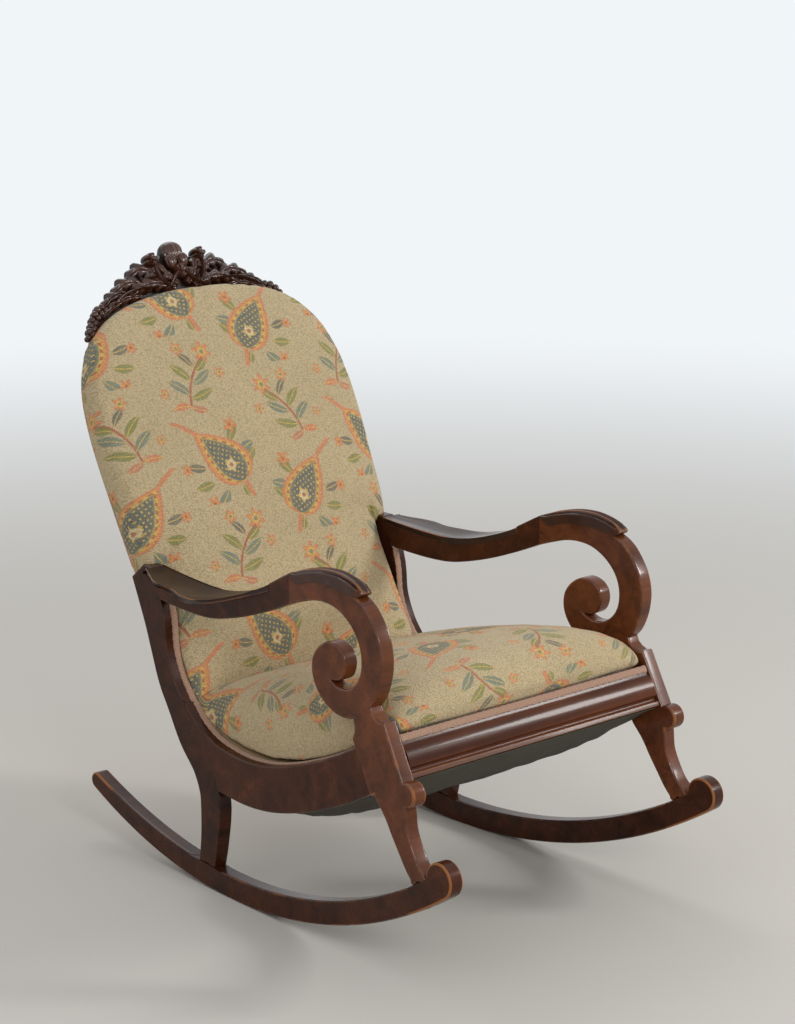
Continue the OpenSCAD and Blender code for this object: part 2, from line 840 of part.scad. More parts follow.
// Closed outline of the padded back, narrow between the posts and wide above them
function pad_loop() = let (
        low = [for (i = [0:4]) let (s = lerp(tuck_s, shoulder_s - 2 * soft_gap, i / 4))
            [half_between(s, back_edge_t) - soft_gap, s]])
    concat(low, back_line, [for (q = reversed(low)) [-q[0], q[1]]]);

// Depth and inset of each ring of the padded back, as shares
pad_ring_shares = [
    [0, 1], [0.16, 1], [0.24, 0.988], [0.36, 0.955], [0.56, 0.87], [0.78, 0.72], [0.93, 0.5],
    [1, 0.25]
];

module back_cushion() {
    mid = [0, back_top * 0.2];
    outline = pad_loop();
    color(cloth) on_back() loft([for (q = pad_ring_shares) [for (p = outline)
        let (r = mid + (p - mid) * q[1]) [r[0], r[1], lerp(pad_back_n, back_crown_t, q[0])]]]);
}

module back_edge_pad() {
    color(cloth) on_back() back_slab(frame_back_n, pad_back_n - frame_back_n) difference() {
        polygon(back_line);
        polygon(frame_upper(back_side_pad - soft_gap));
        translate([-half_in(0), 2 * tuck_s])
            square([2 * half_in(0), shoulder_s + upright_w - 2 * tuck_s]);
    }
}

module outside_back() {
    low = low_half - soft_gap;
    upper = half_between(0, 0) - soft_gap;
    color(cloth) on_back() back_slab(0, skin_t) polygon(concat(
        [[low, tuck_s], [upper, 0], [upper, shoulder_s]],
        beside(back_line, skin_t),
        [[-upper, shoulder_s], [-upper, 0], [-low, tuck_s]]));
}

// Crest, drawn across and up the back

crest_edge_shares = [
    [0.81, 0.705], [0.807, 0.73], [0.772, 0.768], [0.731, 0.798], [0.683, 0.824], [0.648, 0.832],
    [0.603, 0.831], [0.552, 0.846], [0.503, 0.869], [0.462, 0.877], [0.421, 0.899],
    [0.362, 0.908], [0.31, 0.923], [0.269, 0.93], [0.228, 0.949], [0.186, 0.961],
    [0.145, 0.956], [0.103, 0.966], [0.062, 0.99], [0, 1]
];
berry_shares = [
    [0.668, 0.822], [0.707, 0.808], [0.689, 0.786], [0.739, 0.79], [0.72, 0.768], [0.767, 0.77],
    [0.79, 0.749], [0.805, 0.728]
];
leaf_shares = [
    [[0.09, 0.872], [0.22, 0.893], [0.36, 0.878], [0.48, 0.852], [0.6, 0.818]],
    [[0.11, 0.905], [0.19, 0.925], [0.28, 0.912], [0.37, 0.893]],
    [[0.36, 0.897], [0.45, 0.873], [0.53, 0.853], [0.6, 0.835]]
];
leaf_width_shares = [
    [0.6, 1, 1, 0.8, 0.2],
    [0.5, 0.8, 0.7, 0.1],
    [0.4, 0.6, 0.5, 0.1]
];
function on_crest(share) = [share[0] * back_w / 2, share[1] * (back_top + crest_h)];
fruit_share = [0, 0.959];
flower_shares = [[-0.186, 0.944], [0, 0.897], [0.186, 0.944]];

module crest_2d() {
    edge = [for (q = smooth(crest_edge_shares, 2)) on_crest(q)];
    difference() {
        polygon(concat([[edge[0][0], 0]], edge,
            reversed([for (q = edge) if (q[0] > 0) [-q[0], q[1]]]), [[-edge[0][0], 0]]));
        pad_2d(soft_gap);
    }
}

// The padded back seen from the front, raised by gap
module pad_2d(gap) {
    polygon(concat([[back_w, 0], [back_w, shoulder_s]], [for (q = back_line) q + [0, gap]],
        [[-back_w, shoulder_s], [-back_w, 0]]));
}

module leaf(i) {
    spine = leaf_shares[i];
    polygon(board_outline([for (j = [0:len(spine) - 1])
        concat(on_crest(spine[j]), [leaf_w * leaf_width_shares[i][j]])]));
}

module carved_crest() {
    face_n = frame_back_n + crest_t;
    fruit_at = on_crest(fruit_share);
    color(worn_wood) on_back() union() {
        back_slab(frame_back_n, crest_t) crest_2d();
        intersection() {
            back_slab(frame_back_n, 2 * crest_t) crest_2d();
            union() {
                for (s = [0, 1], i = [0, 1, 2]) {
                    mirror([s, 0, 0]) back_slab(frame_back_n, crest_t + relief_d * (1 - i * 0.3))
                        leaf(i);
                }
            }
        }
        translate([fruit_at[0], fruit_at[1], face_n - fruit_d * 0.2])
            intersection() {
                sphere(d = fruit_d, $fn = hole_fn);
                translate([-fruit_d, -fruit_d, 0]) cube(2 * fruit_d);
            }
        difference() {
            for (s = [-1, 1], q = berry_shares) {
                p = on_crest(q);
                translate([s * p[0], p[1], face_n]) sphere(d = berry_d, $fn = hole_fn);
            }
            back_slab(0, 2 * crest_t) pad_2d(2 * soft_gap);
        }
        for (q = flower_shares) {
            p = on_crest(q);
            translate([p[0], p[1], face_n]) sphere(d = flower_d, $fn = hole_fn);
        }
    }
}

// Trim

module gimp_zone() {
    polygon(places([[-0.205, 0.75], [-0.188, 0.62], [-0.148, 0.505], [-0.1, 0.44],
        [-0.04, 0.405], [0.1, 0.39], [0.2, 0.41], [0.3, 0.46], [0.36, 0.52], [0.345, 0.64],
        [0.1, 0.75]]));
}

module seat_gimp(side) {
    color(braid) on_side(side) sawn(gimp_w, board_t - gimp_w) intersection() {
        difference() {
            union() {
                polygon(board_outline(wider(rear_post_stations, 2 * gimp_t)));
                polygon(board_outline(wider(side_rail_stations, 2 * gimp_t)));
            }
            rear_board_2d();
            polygon(board_outline(side_rail_stations));
            post_joint_2d();
            polygon(board_outline(arm_stations));
        }
        gimp_zone();
    }
}

module front_gimp() {
    color(braid) across(soft_gap) translate(rail_top) rotate(post_angle)
        square([gimp_t, gimp_w]);
}

// Fixings

pin_places = [
    rail_top - post_out * front_rail_t / 2 + post_down * front_rail_h * 0.25,
    rail_top - post_out * front_rail_t / 2 + post_down * front_rail_h * 0.75,
    on_rear_rail([hidden_rail_t / 2, rear_rail_h * 0.28]),
    on_rear_rail([hidden_rail_t / 2, rear_rail_h * 0.72]),
    side_at(tuck_s * 0.75, frame_back_n + back_frame_t / 2),
    side_at(tuck_s * 0.3, frame_back_n + back_frame_t / 2)
];

module pins(side, fit) {
    for (p = pin_places) {
        translate([side * (half_in(p[0]) - dowel_l * 0.55 - fit), stance - p[0], p[1]])
            rotate([0, 90 * side, 0]) cylinder(d = dowel_d + 2 * fit, h = dowel_l + 2 * fit,
                $fn = hole_fn);
    }
}

module dowels() {
    color(hidden_wood) {
        pins(-1, 0);
        pins(1, 0);
    }
}

function rocker_angle(f) = asin(f / (rocker_r - rocker_h / 2));
screw_angles = [rocker_angle(side_l * -0.084), rocker_angle(side_l * -0.058),
    rocker_angle(side_l * 0.501)];

module screws(side, fit, bored) {
    on_side(side) {
        for (a = screw_angles) {
            p = on_rocker(rocker_r, a);
            translate([board_t / 2, -p[0], p[1]]) rotate([-a, 0, 0]) {
                translate([0, 0, sink_d - fit])
                    cylinder(d = screw_d + 2 * fit, h = screw_l + 2 * fit, $fn = hole_fn);
                translate([0, 0, bored ? -sink_d : sink_d])
                    cylinder(d = screw_head_d + 2 * fit,
                        h = bored ? 2 * sink_d + screw_d : screw_d, $fn = hole_fn);
            }
        }
    }
}

module rocker_screws() {
    color(steel) {
        screws(-1, 0, false);
        screws(1, 0, false);
    }
}

rocker(-1);  // rocker_right
rocker(1);  // rocker_left
rear_post(-1);  // rear_post_right
rear_post(1);  // rear_post_left
side_rail(-1);  // side_rail_right
side_rail(1);  // side_rail_left
front_post(-1);  // front_post_right
front_post(1);  // front_post_left
arm(-1);  // arm_right
arm(1);  // arm_left
scroll(-1);  // scroll_right
scroll(1);  // scroll_left
elbow_rest(-1);  // elbow_rest_right
elbow_rest(1);  // elbow_rest_left
arm_cap(-1);  // arm_cap_right
arm_cap(1);  // arm_cap_left
front_rail();
rear_seat_rail();
rear_seat_cover();
corner_blocks();
back_uprights();
back_bottom_rail();
crest_rail();
carved_crest();
seat_webbing_long();
seat_webbing_cross();
seat_springs();
spring_cover();
seat_cushion();
back_webbing();
back_cushion();
back_edge_pad();
outside_back();
dust_cover();
seat_gimp(-1);  // seat_gimp_right
seat_gimp(1);  // seat_gimp_left
front_gimp();
dowels();
rocker_screws();
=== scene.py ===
import bpy, bmesh, math
from mathutils import Vector, Matrix, noise
from mathutils.bvhtree import BVHTree


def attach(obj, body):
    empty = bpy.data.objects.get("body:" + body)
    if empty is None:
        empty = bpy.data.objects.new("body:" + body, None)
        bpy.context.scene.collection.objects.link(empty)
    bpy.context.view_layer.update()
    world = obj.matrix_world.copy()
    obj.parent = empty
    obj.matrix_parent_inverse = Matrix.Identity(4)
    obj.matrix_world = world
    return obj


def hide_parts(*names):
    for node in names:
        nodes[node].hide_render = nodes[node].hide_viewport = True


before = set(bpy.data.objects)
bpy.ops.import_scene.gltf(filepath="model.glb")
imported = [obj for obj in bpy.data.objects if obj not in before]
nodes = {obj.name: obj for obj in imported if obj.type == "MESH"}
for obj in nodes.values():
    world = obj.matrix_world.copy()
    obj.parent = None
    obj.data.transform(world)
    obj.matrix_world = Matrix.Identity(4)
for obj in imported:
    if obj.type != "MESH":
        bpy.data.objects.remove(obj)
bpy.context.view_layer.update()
scene = bpy.context.scene
words = {-1: "right", 1: "left"}

# measures shared with the solids, in metres and degrees
chair = {
    "frameWidth": 0.58, "board": 0.027, "splay": 2.5, "stance": 0.018764,
    "lean": 26.5, "postTop": (-0.283, 0.5148), "edge": 0.046, "straight": 0.2,
}


# places on the chair
def sideMatrix(side):
    # takes (forward, height, depth from the outer face) of a side board into the frame
    turn = Matrix.Rotation(-math.radians(chair["splay"]), 4, "Z")
    move = Matrix.Translation((-chair["frameWidth"] / 2, chair["stance"], 0))
    swap = Matrix(((0, 0, 1, 0), (-1, 0, 0, 0), (0, 1, 0, 0), (0, 0, 0, 1)))
    return Matrix.Scale(-side, 4, (1, 0, 0)) @ move @ turn @ swap


def backMatrix():
    # takes (across, up the back, forward of its rear face) into the frame
    a = math.radians(chair["lean"])
    f, z = chair["postTop"]
    return Matrix(((1, 0, 0, 0), (0, math.sin(a), -math.cos(a), chair["stance"] - f),
                   (0, math.cos(a), math.sin(a), z), (0, 0, 0, 1)))


def onBack(p):
    return backMatrix().inverted() @ p


def halfIn(forward):
    # half the clear width between the side boards
    a = math.radians(chair["splay"])
    return chair["frameWidth"] / 2 - chair["board"] / math.cos(a) + forward * math.tan(a)


def curveThrough(points, steps=8):
    # smooth line through the points
    line = []
    for i in range(len(points) - 1):
        p = [Vector(points[max(0, min(len(points) - 1, i + k))]) for k in (-1, 0, 1, 2)]
        for j in range(steps):
            t = j / steps
            line.append(0.5 * (2 * p[1] + (p[2] - p[0]) * t
                               + (2 * p[0] - 5 * p[1] + 4 * p[2] - p[3]) * t * t
                               + (3 * p[1] - p[0] - 3 * p[2] + p[3]) * t ** 3))
    return line + [Vector(points[-1])]


def stepsOf(line):
    return [(b - a).length for a, b in zip(line, line[1:])]


def alongLine(line, t):
    # the place and heading at share t of a line's length
    steps = stepsOf(line)
    left = max(0.0, min(1.0, t)) * sum(steps)
    for i, d in enumerate(steps):
        if left <= d or i == len(steps) - 1:
            heading = (line[i + 1] - line[i]).normalized()
            return line[i].lerp(line[i + 1], min(1.0, left / d)), heading
        left -= d


def heightOn(line, f):
    # height of a line at a place forward, level past its ends
    for a, b in zip(line, line[1:]):
        if a[0] <= f <= b[0]:
            return a[1] + (b[1] - a[1]) * (f - a[0]) / max(1e-9, b[0] - a[0])
    return line[-1][1] if f > line[0][0] else line[0][1]


def evened(values, rounds):
    # draws each value towards its neighbours
    last = len(values) - 1
    for again in range(rounds):
        values = [(values[max(0, i - 1)] + values[i] * 2 + values[min(last, i + 1)]) / 4
                  for i in range(last + 1)]
    return values


def ease(t):
    t = max(0.0, min(1.0, t))
    return t * t * (3 - 2 * t)


# shader maths
def feed(tree, socket, v):
    # a link where the shader works the value out, or else the value itself
    if isinstance(v, Wire):
        tree.links.new(v.socket, socket)
    else:
        socket.default_value = v


def opaque(v):
    # a colour with its fourth value, and anything else as it is
    return v + (1,) if isinstance(v, tuple) and len(v) == 3 else v


class Wire:
    def __init__(self, tree, socket):
        self.tree, self.socket = tree, socket

    def maths(self, kind, *others):
        n = self.tree.nodes.new("ShaderNodeMath")
        n.operation = kind
        for i, v in enumerate((self,) + others):
            feed(self.tree, n.inputs[i], v)
        return Wire(self.tree, n.outputs[0])

    def __add__(self, o): return self.maths("ADD", o)
    def __radd__(self, o): return self.maths("ADD", o)
    def __sub__(self, o): return self.maths("SUBTRACT", o)
    def __rsub__(self, o): return self.maths("MULTIPLY_ADD", -1.0, o)
    def __mul__(self, o): return self.maths("MULTIPLY", o)
    def __rmul__(self, o): return self.maths("MULTIPLY", o)
    def __truediv__(self, o): return self.maths("DIVIDE", o)
    def __rtruediv__(self, o): return self.maths("POWER", -1.0) * o
    def clamp(self): return self.maths("MAXIMUM", 0.0).maths("MINIMUM", 1.0)
    def most(self, o): return self.maths("MAXIMUM", o)
    def size(self): return self.maths("ABSOLUTE")
    def soft(self, sharp=700.0): return self.maths("MULTIPLY_ADD", sharp, 0.5).clamp()


class Finish:
    def __init__(self, name, owner=None):
        self.material = owner or bpy.data.materials.new(name)
        self.material.use_nodes = True
        self.tree = self.material.node_tree
        self.skin = self.tree.nodes.get("Principled BSDF")

    def node(self, kind, settings=None, sockets=None, out=0):
        n = self.tree.nodes.new("ShaderNode" + kind)
        for key, v in (settings or {}).items():
            if key == "stops":
                while len(n.color_ramp.elements) < len(v):
                    n.color_ramp.elements.new(0.5)
                for e, (at, c) in zip(n.color_ramp.elements, v):
                    e.position, e.color = at, opaque(c)
            else:
                setattr(n, key, v)
        for key, v in (sockets or {}).items():
            feed(self.tree, n.inputs[key], v)
        return Wire(self.tree, n.outputs[out])

    def blend(self, share, a, b):
        return self.node("Mix", {"data_type": "RGBA"}, {0: share, 6: opaque(a), 7: opaque(b)}, 2)

    def split(self, vector):
        n = self.node("SeparateXYZ", {}, {"Vector": vector}).socket.node
        return [Wire(self.tree, out) for out in n.outputs]

    def seen(self):
        # 1 where the camera, a reflection or glass looks, 0 where only light is gathered
        rays = [self.node("LightPath", out="Is %s Ray" % k)
                for k in ("Camera", "Glossy", "Transmission")]
        return rays[0].most(rays[1]).most(rays[2])

    def place(self, turn=(0, 0, 0), scale=(1, 1, 1), uv=False):
        source = self.node("UVMap", {"uv_map": "cloth"}) if uv else self.node("TexCoord", out=3)
        return self.node("Mapping", {}, {"Vector": source, "Rotation": turn, "Scale": scale})

    def noise(self, vector, scale, detail=3.0, rough=0.5, distort=0.0):
        return self.node("TexNoise", {}, {"Vector": vector, "Scale": scale, "Detail": detail,
                                          "Roughness": rough, "Distortion": distort})

    def bump(self, height, strength, distance):
        n = self.node("Bump", {}, {"Height": height, "Strength": strength, "Distance": distance})
        self.tree.links.new(n.socket, self.skin.inputs["Normal"])

    def wear(self, **sockets):
        for key, v in sockets.items():
            feed(self.tree, self.skin.inputs[key.replace("_", " ")], opaque(v))


wood = {
    "dark": (0.019, 0.0047, 0.0018), "middle": (0.066, 0.017, 0.0054),
    "light": (0.175, 0.049, 0.014), "worn": (0.35, 0.13, 0.04),
    # near-black colour of the painted shade
    "shadeColour": (0.006, 0.0022, 0.0012),
    "figure": (2.2, 26, 26), "pores": (9, 190, 190), "steps": (0.18, 0.52, 0.88),
    # the second entry on this line is how strongly the shade is painted
    "rubbed": 0.85, "shadeStrength": 0.85, "scuffs": 0.4, "scuffSize": 110.0,
    "gloss": 0.26, "coat": 0.15, "coatGloss": 0.08, "specular": 0.13,
}


def polishedWood(name, turn, warm, worn, polish=1.0):
    # grain runs along local X after the turn; warm brings the light figure out
    # the mesh says where: rub on edges that lose their polish, and a painted-shade mark where hollows,
    # undersides and side walls are painted darker
    f = Finish(name)
    spot = f.place(turn)
    stretched = f.place(turn, wood["figure"])
    fine = f.place(turn, wood["pores"])
    figure = f.noise(stretched, 1.0, 6.0, 0.62, 0.7)
    pores = f.noise(fine, 1.0, 3.0, 0.7, 0.2)
    cloud = f.noise(spot, 7.0, 4.0, 0.55, 0.4)
    tone = (figure * 0.9 + cloud * 0.3 + (warm - 0.62)).clamp()
    stops = list(zip(wood["steps"], (wood["dark"], wood["middle"], wood["light"])))
    colour = f.node("ValToRGB", {"stops": stops}, {"Fac": tone})
    colour = f.blend(((0.44 - pores) * 5.0).clamp() * 0.4, colour, wood["dark"])
    edge = f.node("Attribute", {"attribute_name": "rub"}, out=2)
    patch = f.noise(spot, 34.0, 6.0, 0.7, 0.5)
    big = f.noise(spot, 8.0, 2.0)
    hollow = f.node("Attribute", {"attribute_name": "hollow"}, out=2)
    # painted shade: the marked hollows, undersides and side walls are blended towards the near-black
    # colour
    colour = f.blend(hollow.clamp() * wood["shadeStrength"], colour, wood["shadeColour"])
    ragged = ((edge * (0.55 + worn) + patch * 1.5 + big * 0.9 - 1.96) * 3.0).clamp()
    rub = ragged * edge.clamp()
    scratch = f.noise(spot, wood["scuffSize"], 2.0, 0.5, 1.0)
    scuff = ((scratch - 0.74) * 16.0).clamp() * wood["scuffs"]
    colour = f.blend(rub * wood["rubbed"], colour, wood["worn"])
    colour = f.blend(scuff * (0.3 + edge.clamp()).clamp(), colour, wood["light"])
    shine = wood["gloss"] + rub * 0.25 + (pores - 0.5) * 0.1 + (cloud - 0.5) * 0.1
    shine = shine + hollow.clamp() * 0.3
    coat = wood["coat"] * polish + edge.clamp() * 0.5 - rub * 0.5
    f.wear(Base_Color=colour, Roughness=shine.clamp(), Coat_Roughness=wood["coatGloss"],
           Coat_Weight=coat.clamp(), Specular_IOR_Level=wood["specular"] * polish)
    f.bump(figure * 0.4 + pores * 0.4 + cloud * 0.6, 0.12, 0.001)
    return f.material


cloth = {
    "ground": (0.59, 0.465, 0.27), "shade": (0.34, 0.258, 0.14), "pale": (0.74, 0.62, 0.41),
    "coral": (0.72, 0.2, 0.095), "orange": (0.76, 0.32, 0.09), "gold": (0.74, 0.49, 0.11),
    "teal": (0.125, 0.215, 0.19), "slate": (0.075, 0.105, 0.115), "olive": (0.2, 0.235, 0.06),
    "rose": (0.6, 0.17, 0.13), "brick": (0.43, 0.07, 0.045), "cream": (0.78, 0.64, 0.36),
    "cell": (0.176, 0.158), "drawn": 1.18, "strength": 0.92, "tilt": 24.0,
    "pebbles": 330.0, "pebble": 0.36, "relief": 0.0016,
}


def printedCloth(name):
    # a pebbled weave with paisleys and flowering sprigs in half-drop rows
    f = Finish(name)
    place = f.place(uv=True)
    wobble = f.noise(place, 90.0, 2.0)
    weave = f.noise(place, 420.0, 2.0, 0.6)
    u, v = f.split(place)[:2]
    u = u + (wobble - 0.5) * 0.004
    v = v + (weave - 0.5) * 0.003
    w, h = cloth["cell"]
    column = (u / w).maths("FLOOR")
    drop = (column * 0.5).maths("FRACT")
    lifted = v / h + drop
    row = lifted.maths("FLOOR")
    kind = ((column + row) * 0.5).maths("FRACT") * 2.0
    facing = 1.0 - (row * 0.5).maths("FRACT") * 4.0
    x = ((u / w).maths("FRACT") - 0.5) * (w / cloth["drawn"]) * facing
    y = (lifted.maths("FRACT") - 0.5) * (h / cloth["drawn"])
    turn = math.radians(cloth["tilt"])
    x, y = x * math.cos(turn) - y * math.sin(turn), x * math.sin(turn) + y * math.cos(turn)

    def leaf(at, angle, length, width, bend=0.0):
        c, s = math.cos(math.radians(angle)), math.sin(math.radians(angle))
        a = (x - at[0]) * c + (y - at[1]) * s
        b = (y - at[1]) * c - (x - at[0]) * s
        t = a / length
        b = b - t * t * bend
        return (t * (1.0 - t)) * (4 * width) - b.size(), b

    def blossom(at, radius, petals, turn=0.0, depth=0.26):
        dx, dy = x - at[0], y - at[1]
        r = (dx * dx + dy * dy).maths("SQRT")
        angle = dy.maths("ARCTAN2", dx)
        lobed = (angle * float(petals) + turn).maths("COSINE") * depth + (1.0 - depth)
        return lobed * radius - r, r

    layers = []

    def add(*layer):
        # share, colour, and 0 for the paisley or 1 for the sprig
        layers.append(layer)

    def addLeaves(leaves, bend, vein, group):
        for at, angle, length, width, colour in leaves:
            edge, rib = leaf(at, angle, length, width, bend)
            add(edge.soft(), colour, group)
            add(edge.soft() * (vein - rib.size()).soft(1600), "gold", group)

    # paisley
    bent = x - ((y + 0.045) * (y + 0.045)) * 2.6 + 0.014
    t = ((y + 0.05) / 0.102).clamp()
    drip = t.maths("SQRT") * (1.0 - t) * 0.088 - bent.size()
    addLeaves([
        ((-0.03, -0.034), 150, 0.038, 0.008, "olive"), ((-0.036, -0.012), 170, 0.034, 0.0075, "teal"),
        ((-0.032, 0.01), 140, 0.036, 0.008, "olive"), ((0.02, -0.044), -30, 0.04, 0.0085, "teal"),
        ((0.034, -0.022), 5, 0.034, 0.0075, "olive"), ((0.03, 0.002), 25, 0.032, 0.007, "slate"),
        ((-0.006, -0.052), -100, 0.02, 0.007, "olive"),
    ], 0.006, 0.0009, 0)
    for at, radius, petals in (((-0.052, 0.03), 0.013, 5), ((0.056, -0.046), 0.012, 5),
                               ((0.06, 0.018), 0.01, 6)):
        edge, r = blossom(at, radius, petals)
        add(edge.soft(), "coral", 0)
        add((radius * 0.55 - r).soft(), "orange", 0)
        add((radius * 0.22 - r).soft(), "brick", 0)
    add((drip + 0.004).soft(), "coral", 0)
    add(drip.soft(), "orange", 0)
    beads = (y * 520.0).maths("SINE") * 0.5 + 0.5
    add((drip - 0.0035).soft(), "gold", 0)
    add((drip - 0.0045).soft() * (0.0085 - drip).soft() * (beads - 0.55).soft(6.0), "brick", 0)
    add((drip - 0.0095).soft(), "teal", 0)
    add((drip - 0.012).soft(), "slate", 0)
    seeds = ((x * 620.0).maths("SINE") * (y * 620.0).maths("SINE") - 0.55).soft(5.0)
    add((drip - 0.013).soft() * seeds, "gold", 0)
    edge, r = blossom((-0.01, -0.018), 0.0125, 5, 1.2, 0.3)
    add(edge.soft(), "gold", 0)
    add((0.0085 - r).soft(), "cream", 0)
    add((0.0035 - r).soft(), "brick", 0)

    # flowering sprig
    stem = x - (y * y) * 5.0 - y * 0.25
    add((0.0021 - stem.size()).soft(900) * (y + 0.052).soft(500) * (0.036 - y).soft(500), "brick", 1)
    addLeaves([
        ((0.0, -0.04), 28, 0.044, 0.0075, "olive"), ((-0.002, -0.034), 152, 0.042, 0.0075, "teal"),
        ((0.0, -0.016), 40, 0.044, 0.007, "teal"), ((-0.002, -0.01), 148, 0.042, 0.0075, "olive"),
        ((0.004, 0.008), 46, 0.034, 0.006, "olive"), ((0.0, 0.014), 140, 0.034, 0.006, "slate"),
        ((0.0, -0.052), -12, 0.03, 0.006, "rose"), ((0.0, -0.052), 190, 0.032, 0.006, "coral"),
    ], 0.008, 0.0008, 1)
    for at, radius, petals, turn in (((0.014, 0.044), 0.0175, 6, 0.0), ((-0.03, 0.036), 0.012, 5, 0.8),
                                     ((0.046, 0.018), 0.01, 5, 0.3), ((-0.046, -0.044), 0.009, 5, 0.0)):
        edge, r = blossom(at, radius, petals, turn)
        add(edge.soft(), "coral", 1)
        add((edge - 0.0035).soft(), "orange", 1)
        add((radius * 0.42 - r).soft(), "gold", 1)
        add((radius * 0.2 - r).soft(), "teal", 1)

    broad = f.noise(place, 6.0, 3.0)
    colour = f.blend((0.62 + broad * 0.6).clamp(), cloth["shade"], cloth["ground"])
    fade = (0.55 + f.noise(place, 55.0, 3.0) * 0.75).clamp() * cloth["strength"]
    for share, key, group in layers:
        side = kind if group else 1.0 - kind
        colour = f.blend(share * side * fade, colour, cloth[key])
    pebble = f.node("TexVoronoi", {"feature": "SMOOTH_F1"},
                    {"Vector": f.place(scale=(1, 1.45, 1), uv=True), "Scale": cloth["pebbles"],
                     "Smoothness": 0.35})
    # painted shade in the low pebbles and painted highlight on the raised ones, following the bump
    # below
    low = ((pebble - cloth["pebble"]) * 2.4).clamp()
    colour = f.blend(low * 0.62, colour, cloth["shade"])
    colour = f.blend((cloth["pebble"] - pebble).clamp() * 2.2, colour, cloth["pale"])
    f.wear(Base_Color=colour, Roughness=0.86, Sheen_Weight=0.12, Sheen_Roughness=0.5,
           Specular_IOR_Level=0.28)
    f.bump(1.0 - pebble + weave * 0.25, 0.75, cloth["relief"])
    return f.material


braid = {"low": (0.3, 0.145, 0.1), "high": (0.62, 0.39, 0.275), "faded": (0.54, 0.4, 0.25),
         "pitch": 980.0, "lean": 13.0, "relief": 0.0012}


def braidCloth(name):
    # gimp: cords that lean both ways from the middle of the ribbon
    f = Finish(name)
    place = f.place(uv=True)
    along, across = f.split(place)[:2]
    lean = (across - 0.5).size() * braid["lean"]
    loops = (along * braid["pitch"] + lean).maths("SINE") * 0.5 + 0.5
    cords = (across * 19.0).maths("SINE").size()
    ridge = loops * 0.5 + cords * 0.5
    spot = f.noise(place, 60.0, 3.0)
    fuzz = f.noise(place, 700.0, 2.0, 0.7)
    # painted shade in the grooves between the cords and painted highlight on their crowns, broken up by
    # random fuzz
    colour = f.blend((ridge * 0.8 + (fuzz - 0.5) * 1.1).clamp(), braid["low"], braid["high"])
    colour = f.blend(((spot - 0.42) * 2.4).clamp() * 0.6, colour, braid["faded"])
    f.wear(Base_Color=colour, Roughness=0.8, Sheen_Weight=0.2, Sheen_Roughness=0.5,
           Specular_IOR_Level=0.25)
    f.bump(ridge + fuzz * 0.6, 0.8, braid["relief"])
    return f.material


def thinCloth(name, low, high, scale, strength=0.4):
    # plain open weave for dust cloth, hessian and webbing
    f = Finish(name)
    spot = f.place()
    a, b = [f.node("TexWave", {"bands_direction": way},
                   {"Vector": spot, "Scale": scale, "Distortion": 0.6}) for way in "XY"]
    threads = a * 0.5 + b * 0.5
    cloud = f.noise(spot, 9.0, 4.0, 0.6)
    colour = f.blend((threads * 0.6 + cloud * 0.5).clamp(), low, high)
    f.wear(Base_Color=colour, Roughness=0.9, Specular_IOR_Level=0.2)
    f.bump(threads, strength, 0.0006)
    return f.material


def plainWood(name):
    f = Finish(name)
    grain = f.noise(f.place((0, 0, 0.2), (3, 60, 60)), 1.0, 5.0, 0.6, 0.6)
    colour = f.blend(grain, (0.3, 0.175, 0.075), (0.52, 0.35, 0.18))
    f.wear(Base_Color=colour, Roughness=0.7)
    f.bump(grain, 0.3, 0.001)
    return f.material


def oldSteel(name, tint):
    f = Finish(name)
    spot = f.noise(f.place(), 140.0, 4.0, 0.6)
    colour = f.blend(spot, tuple(c * 0.45 for c in tint), tint)
    f.wear(Base_Color=colour, Metallic=0.9, Roughness=0.32 + spot * 0.3)
    f.bump(spot, 0.15, 0.0004)
    return f.material


quarter = math.pi / 2
woods = {  # turn of the grain, warmth, wear and polish
    "railWood": ((0, 0, quarter), 0.47, 0.35), "postWood": ((0, quarter, 0), 0.4, 0.4),
    "scrollWood": ((0.6, 0, quarter), 0.72, 0.55, 1.3), "rockerWood": ((0, 0, quarter), 0.44, 0.85),
    "frontWood": ((0, 0, 0), 0.56, 0.75, 0.9), "capWood": ((0, 0, quarter), 0.5, 1.05, 1.8),
    "elbowWood": ((0, 0, quarter), 0.4, 0.7, 1.5), "crestWood": ((0, 0, 0), 0.44, 0.3, 2.3),
}
finishes = {name: polishedWood(name, *look) for name, look in woods.items()}
finishes.update({
    "printed": printedCloth("printed"),
    "braid": braidCloth("braid"),
    "cambric": thinCloth("cambric", (0.036, 0.034, 0.027), (0.125, 0.116, 0.092), 300.0),
    "jute": thinCloth("jute", (0.2, 0.13, 0.06), (0.46, 0.33, 0.18), 190.0, 0.7),
    "plainWood": plainWood("plainWood"),
    "spring": oldSteel("spring", (0.46, 0.33, 0.25)),
    "screw": oldSteel("screw", (0.42, 0.41, 0.39)),
})
print("finishes made:", len(finishes))


# making pieces
making = {"merge": 1e-5, "flat": 0.4, "evenWeight": 60}


def meshOf(name, bm):
    mesh = bpy.data.meshes.new(name)
    bm.to_mesh(mesh)
    bm.free()
    return mesh


def placed(name, data):
    # a new object in the scene
    obj = bpy.data.objects.new(name, data)
    scene.collection.objects.link(obj)
    return obj


def newPiece(name, bm, finish, replaced, smooth, weighted=False):
    bmesh.ops.recalc_face_normals(bm, faces=bm.faces)
    for face in bm.faces:
        face.smooth = True
    for edge in bm.edges:
        edge.smooth = len(edge.link_faces) < 2 or edge.calc_face_angle(0) < math.radians(smooth)
    piece = placed(name, meshOf(name, bm))
    piece.data.materials.append(finishes[finish])
    if weighted:
        m = piece.modifiers.new("evenShading", "WEIGHTED_NORMAL")
        m.keep_sharp, m.weight = True, making["evenWeight"]
    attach(piece, "root")
    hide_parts(*replaced)
    return piece


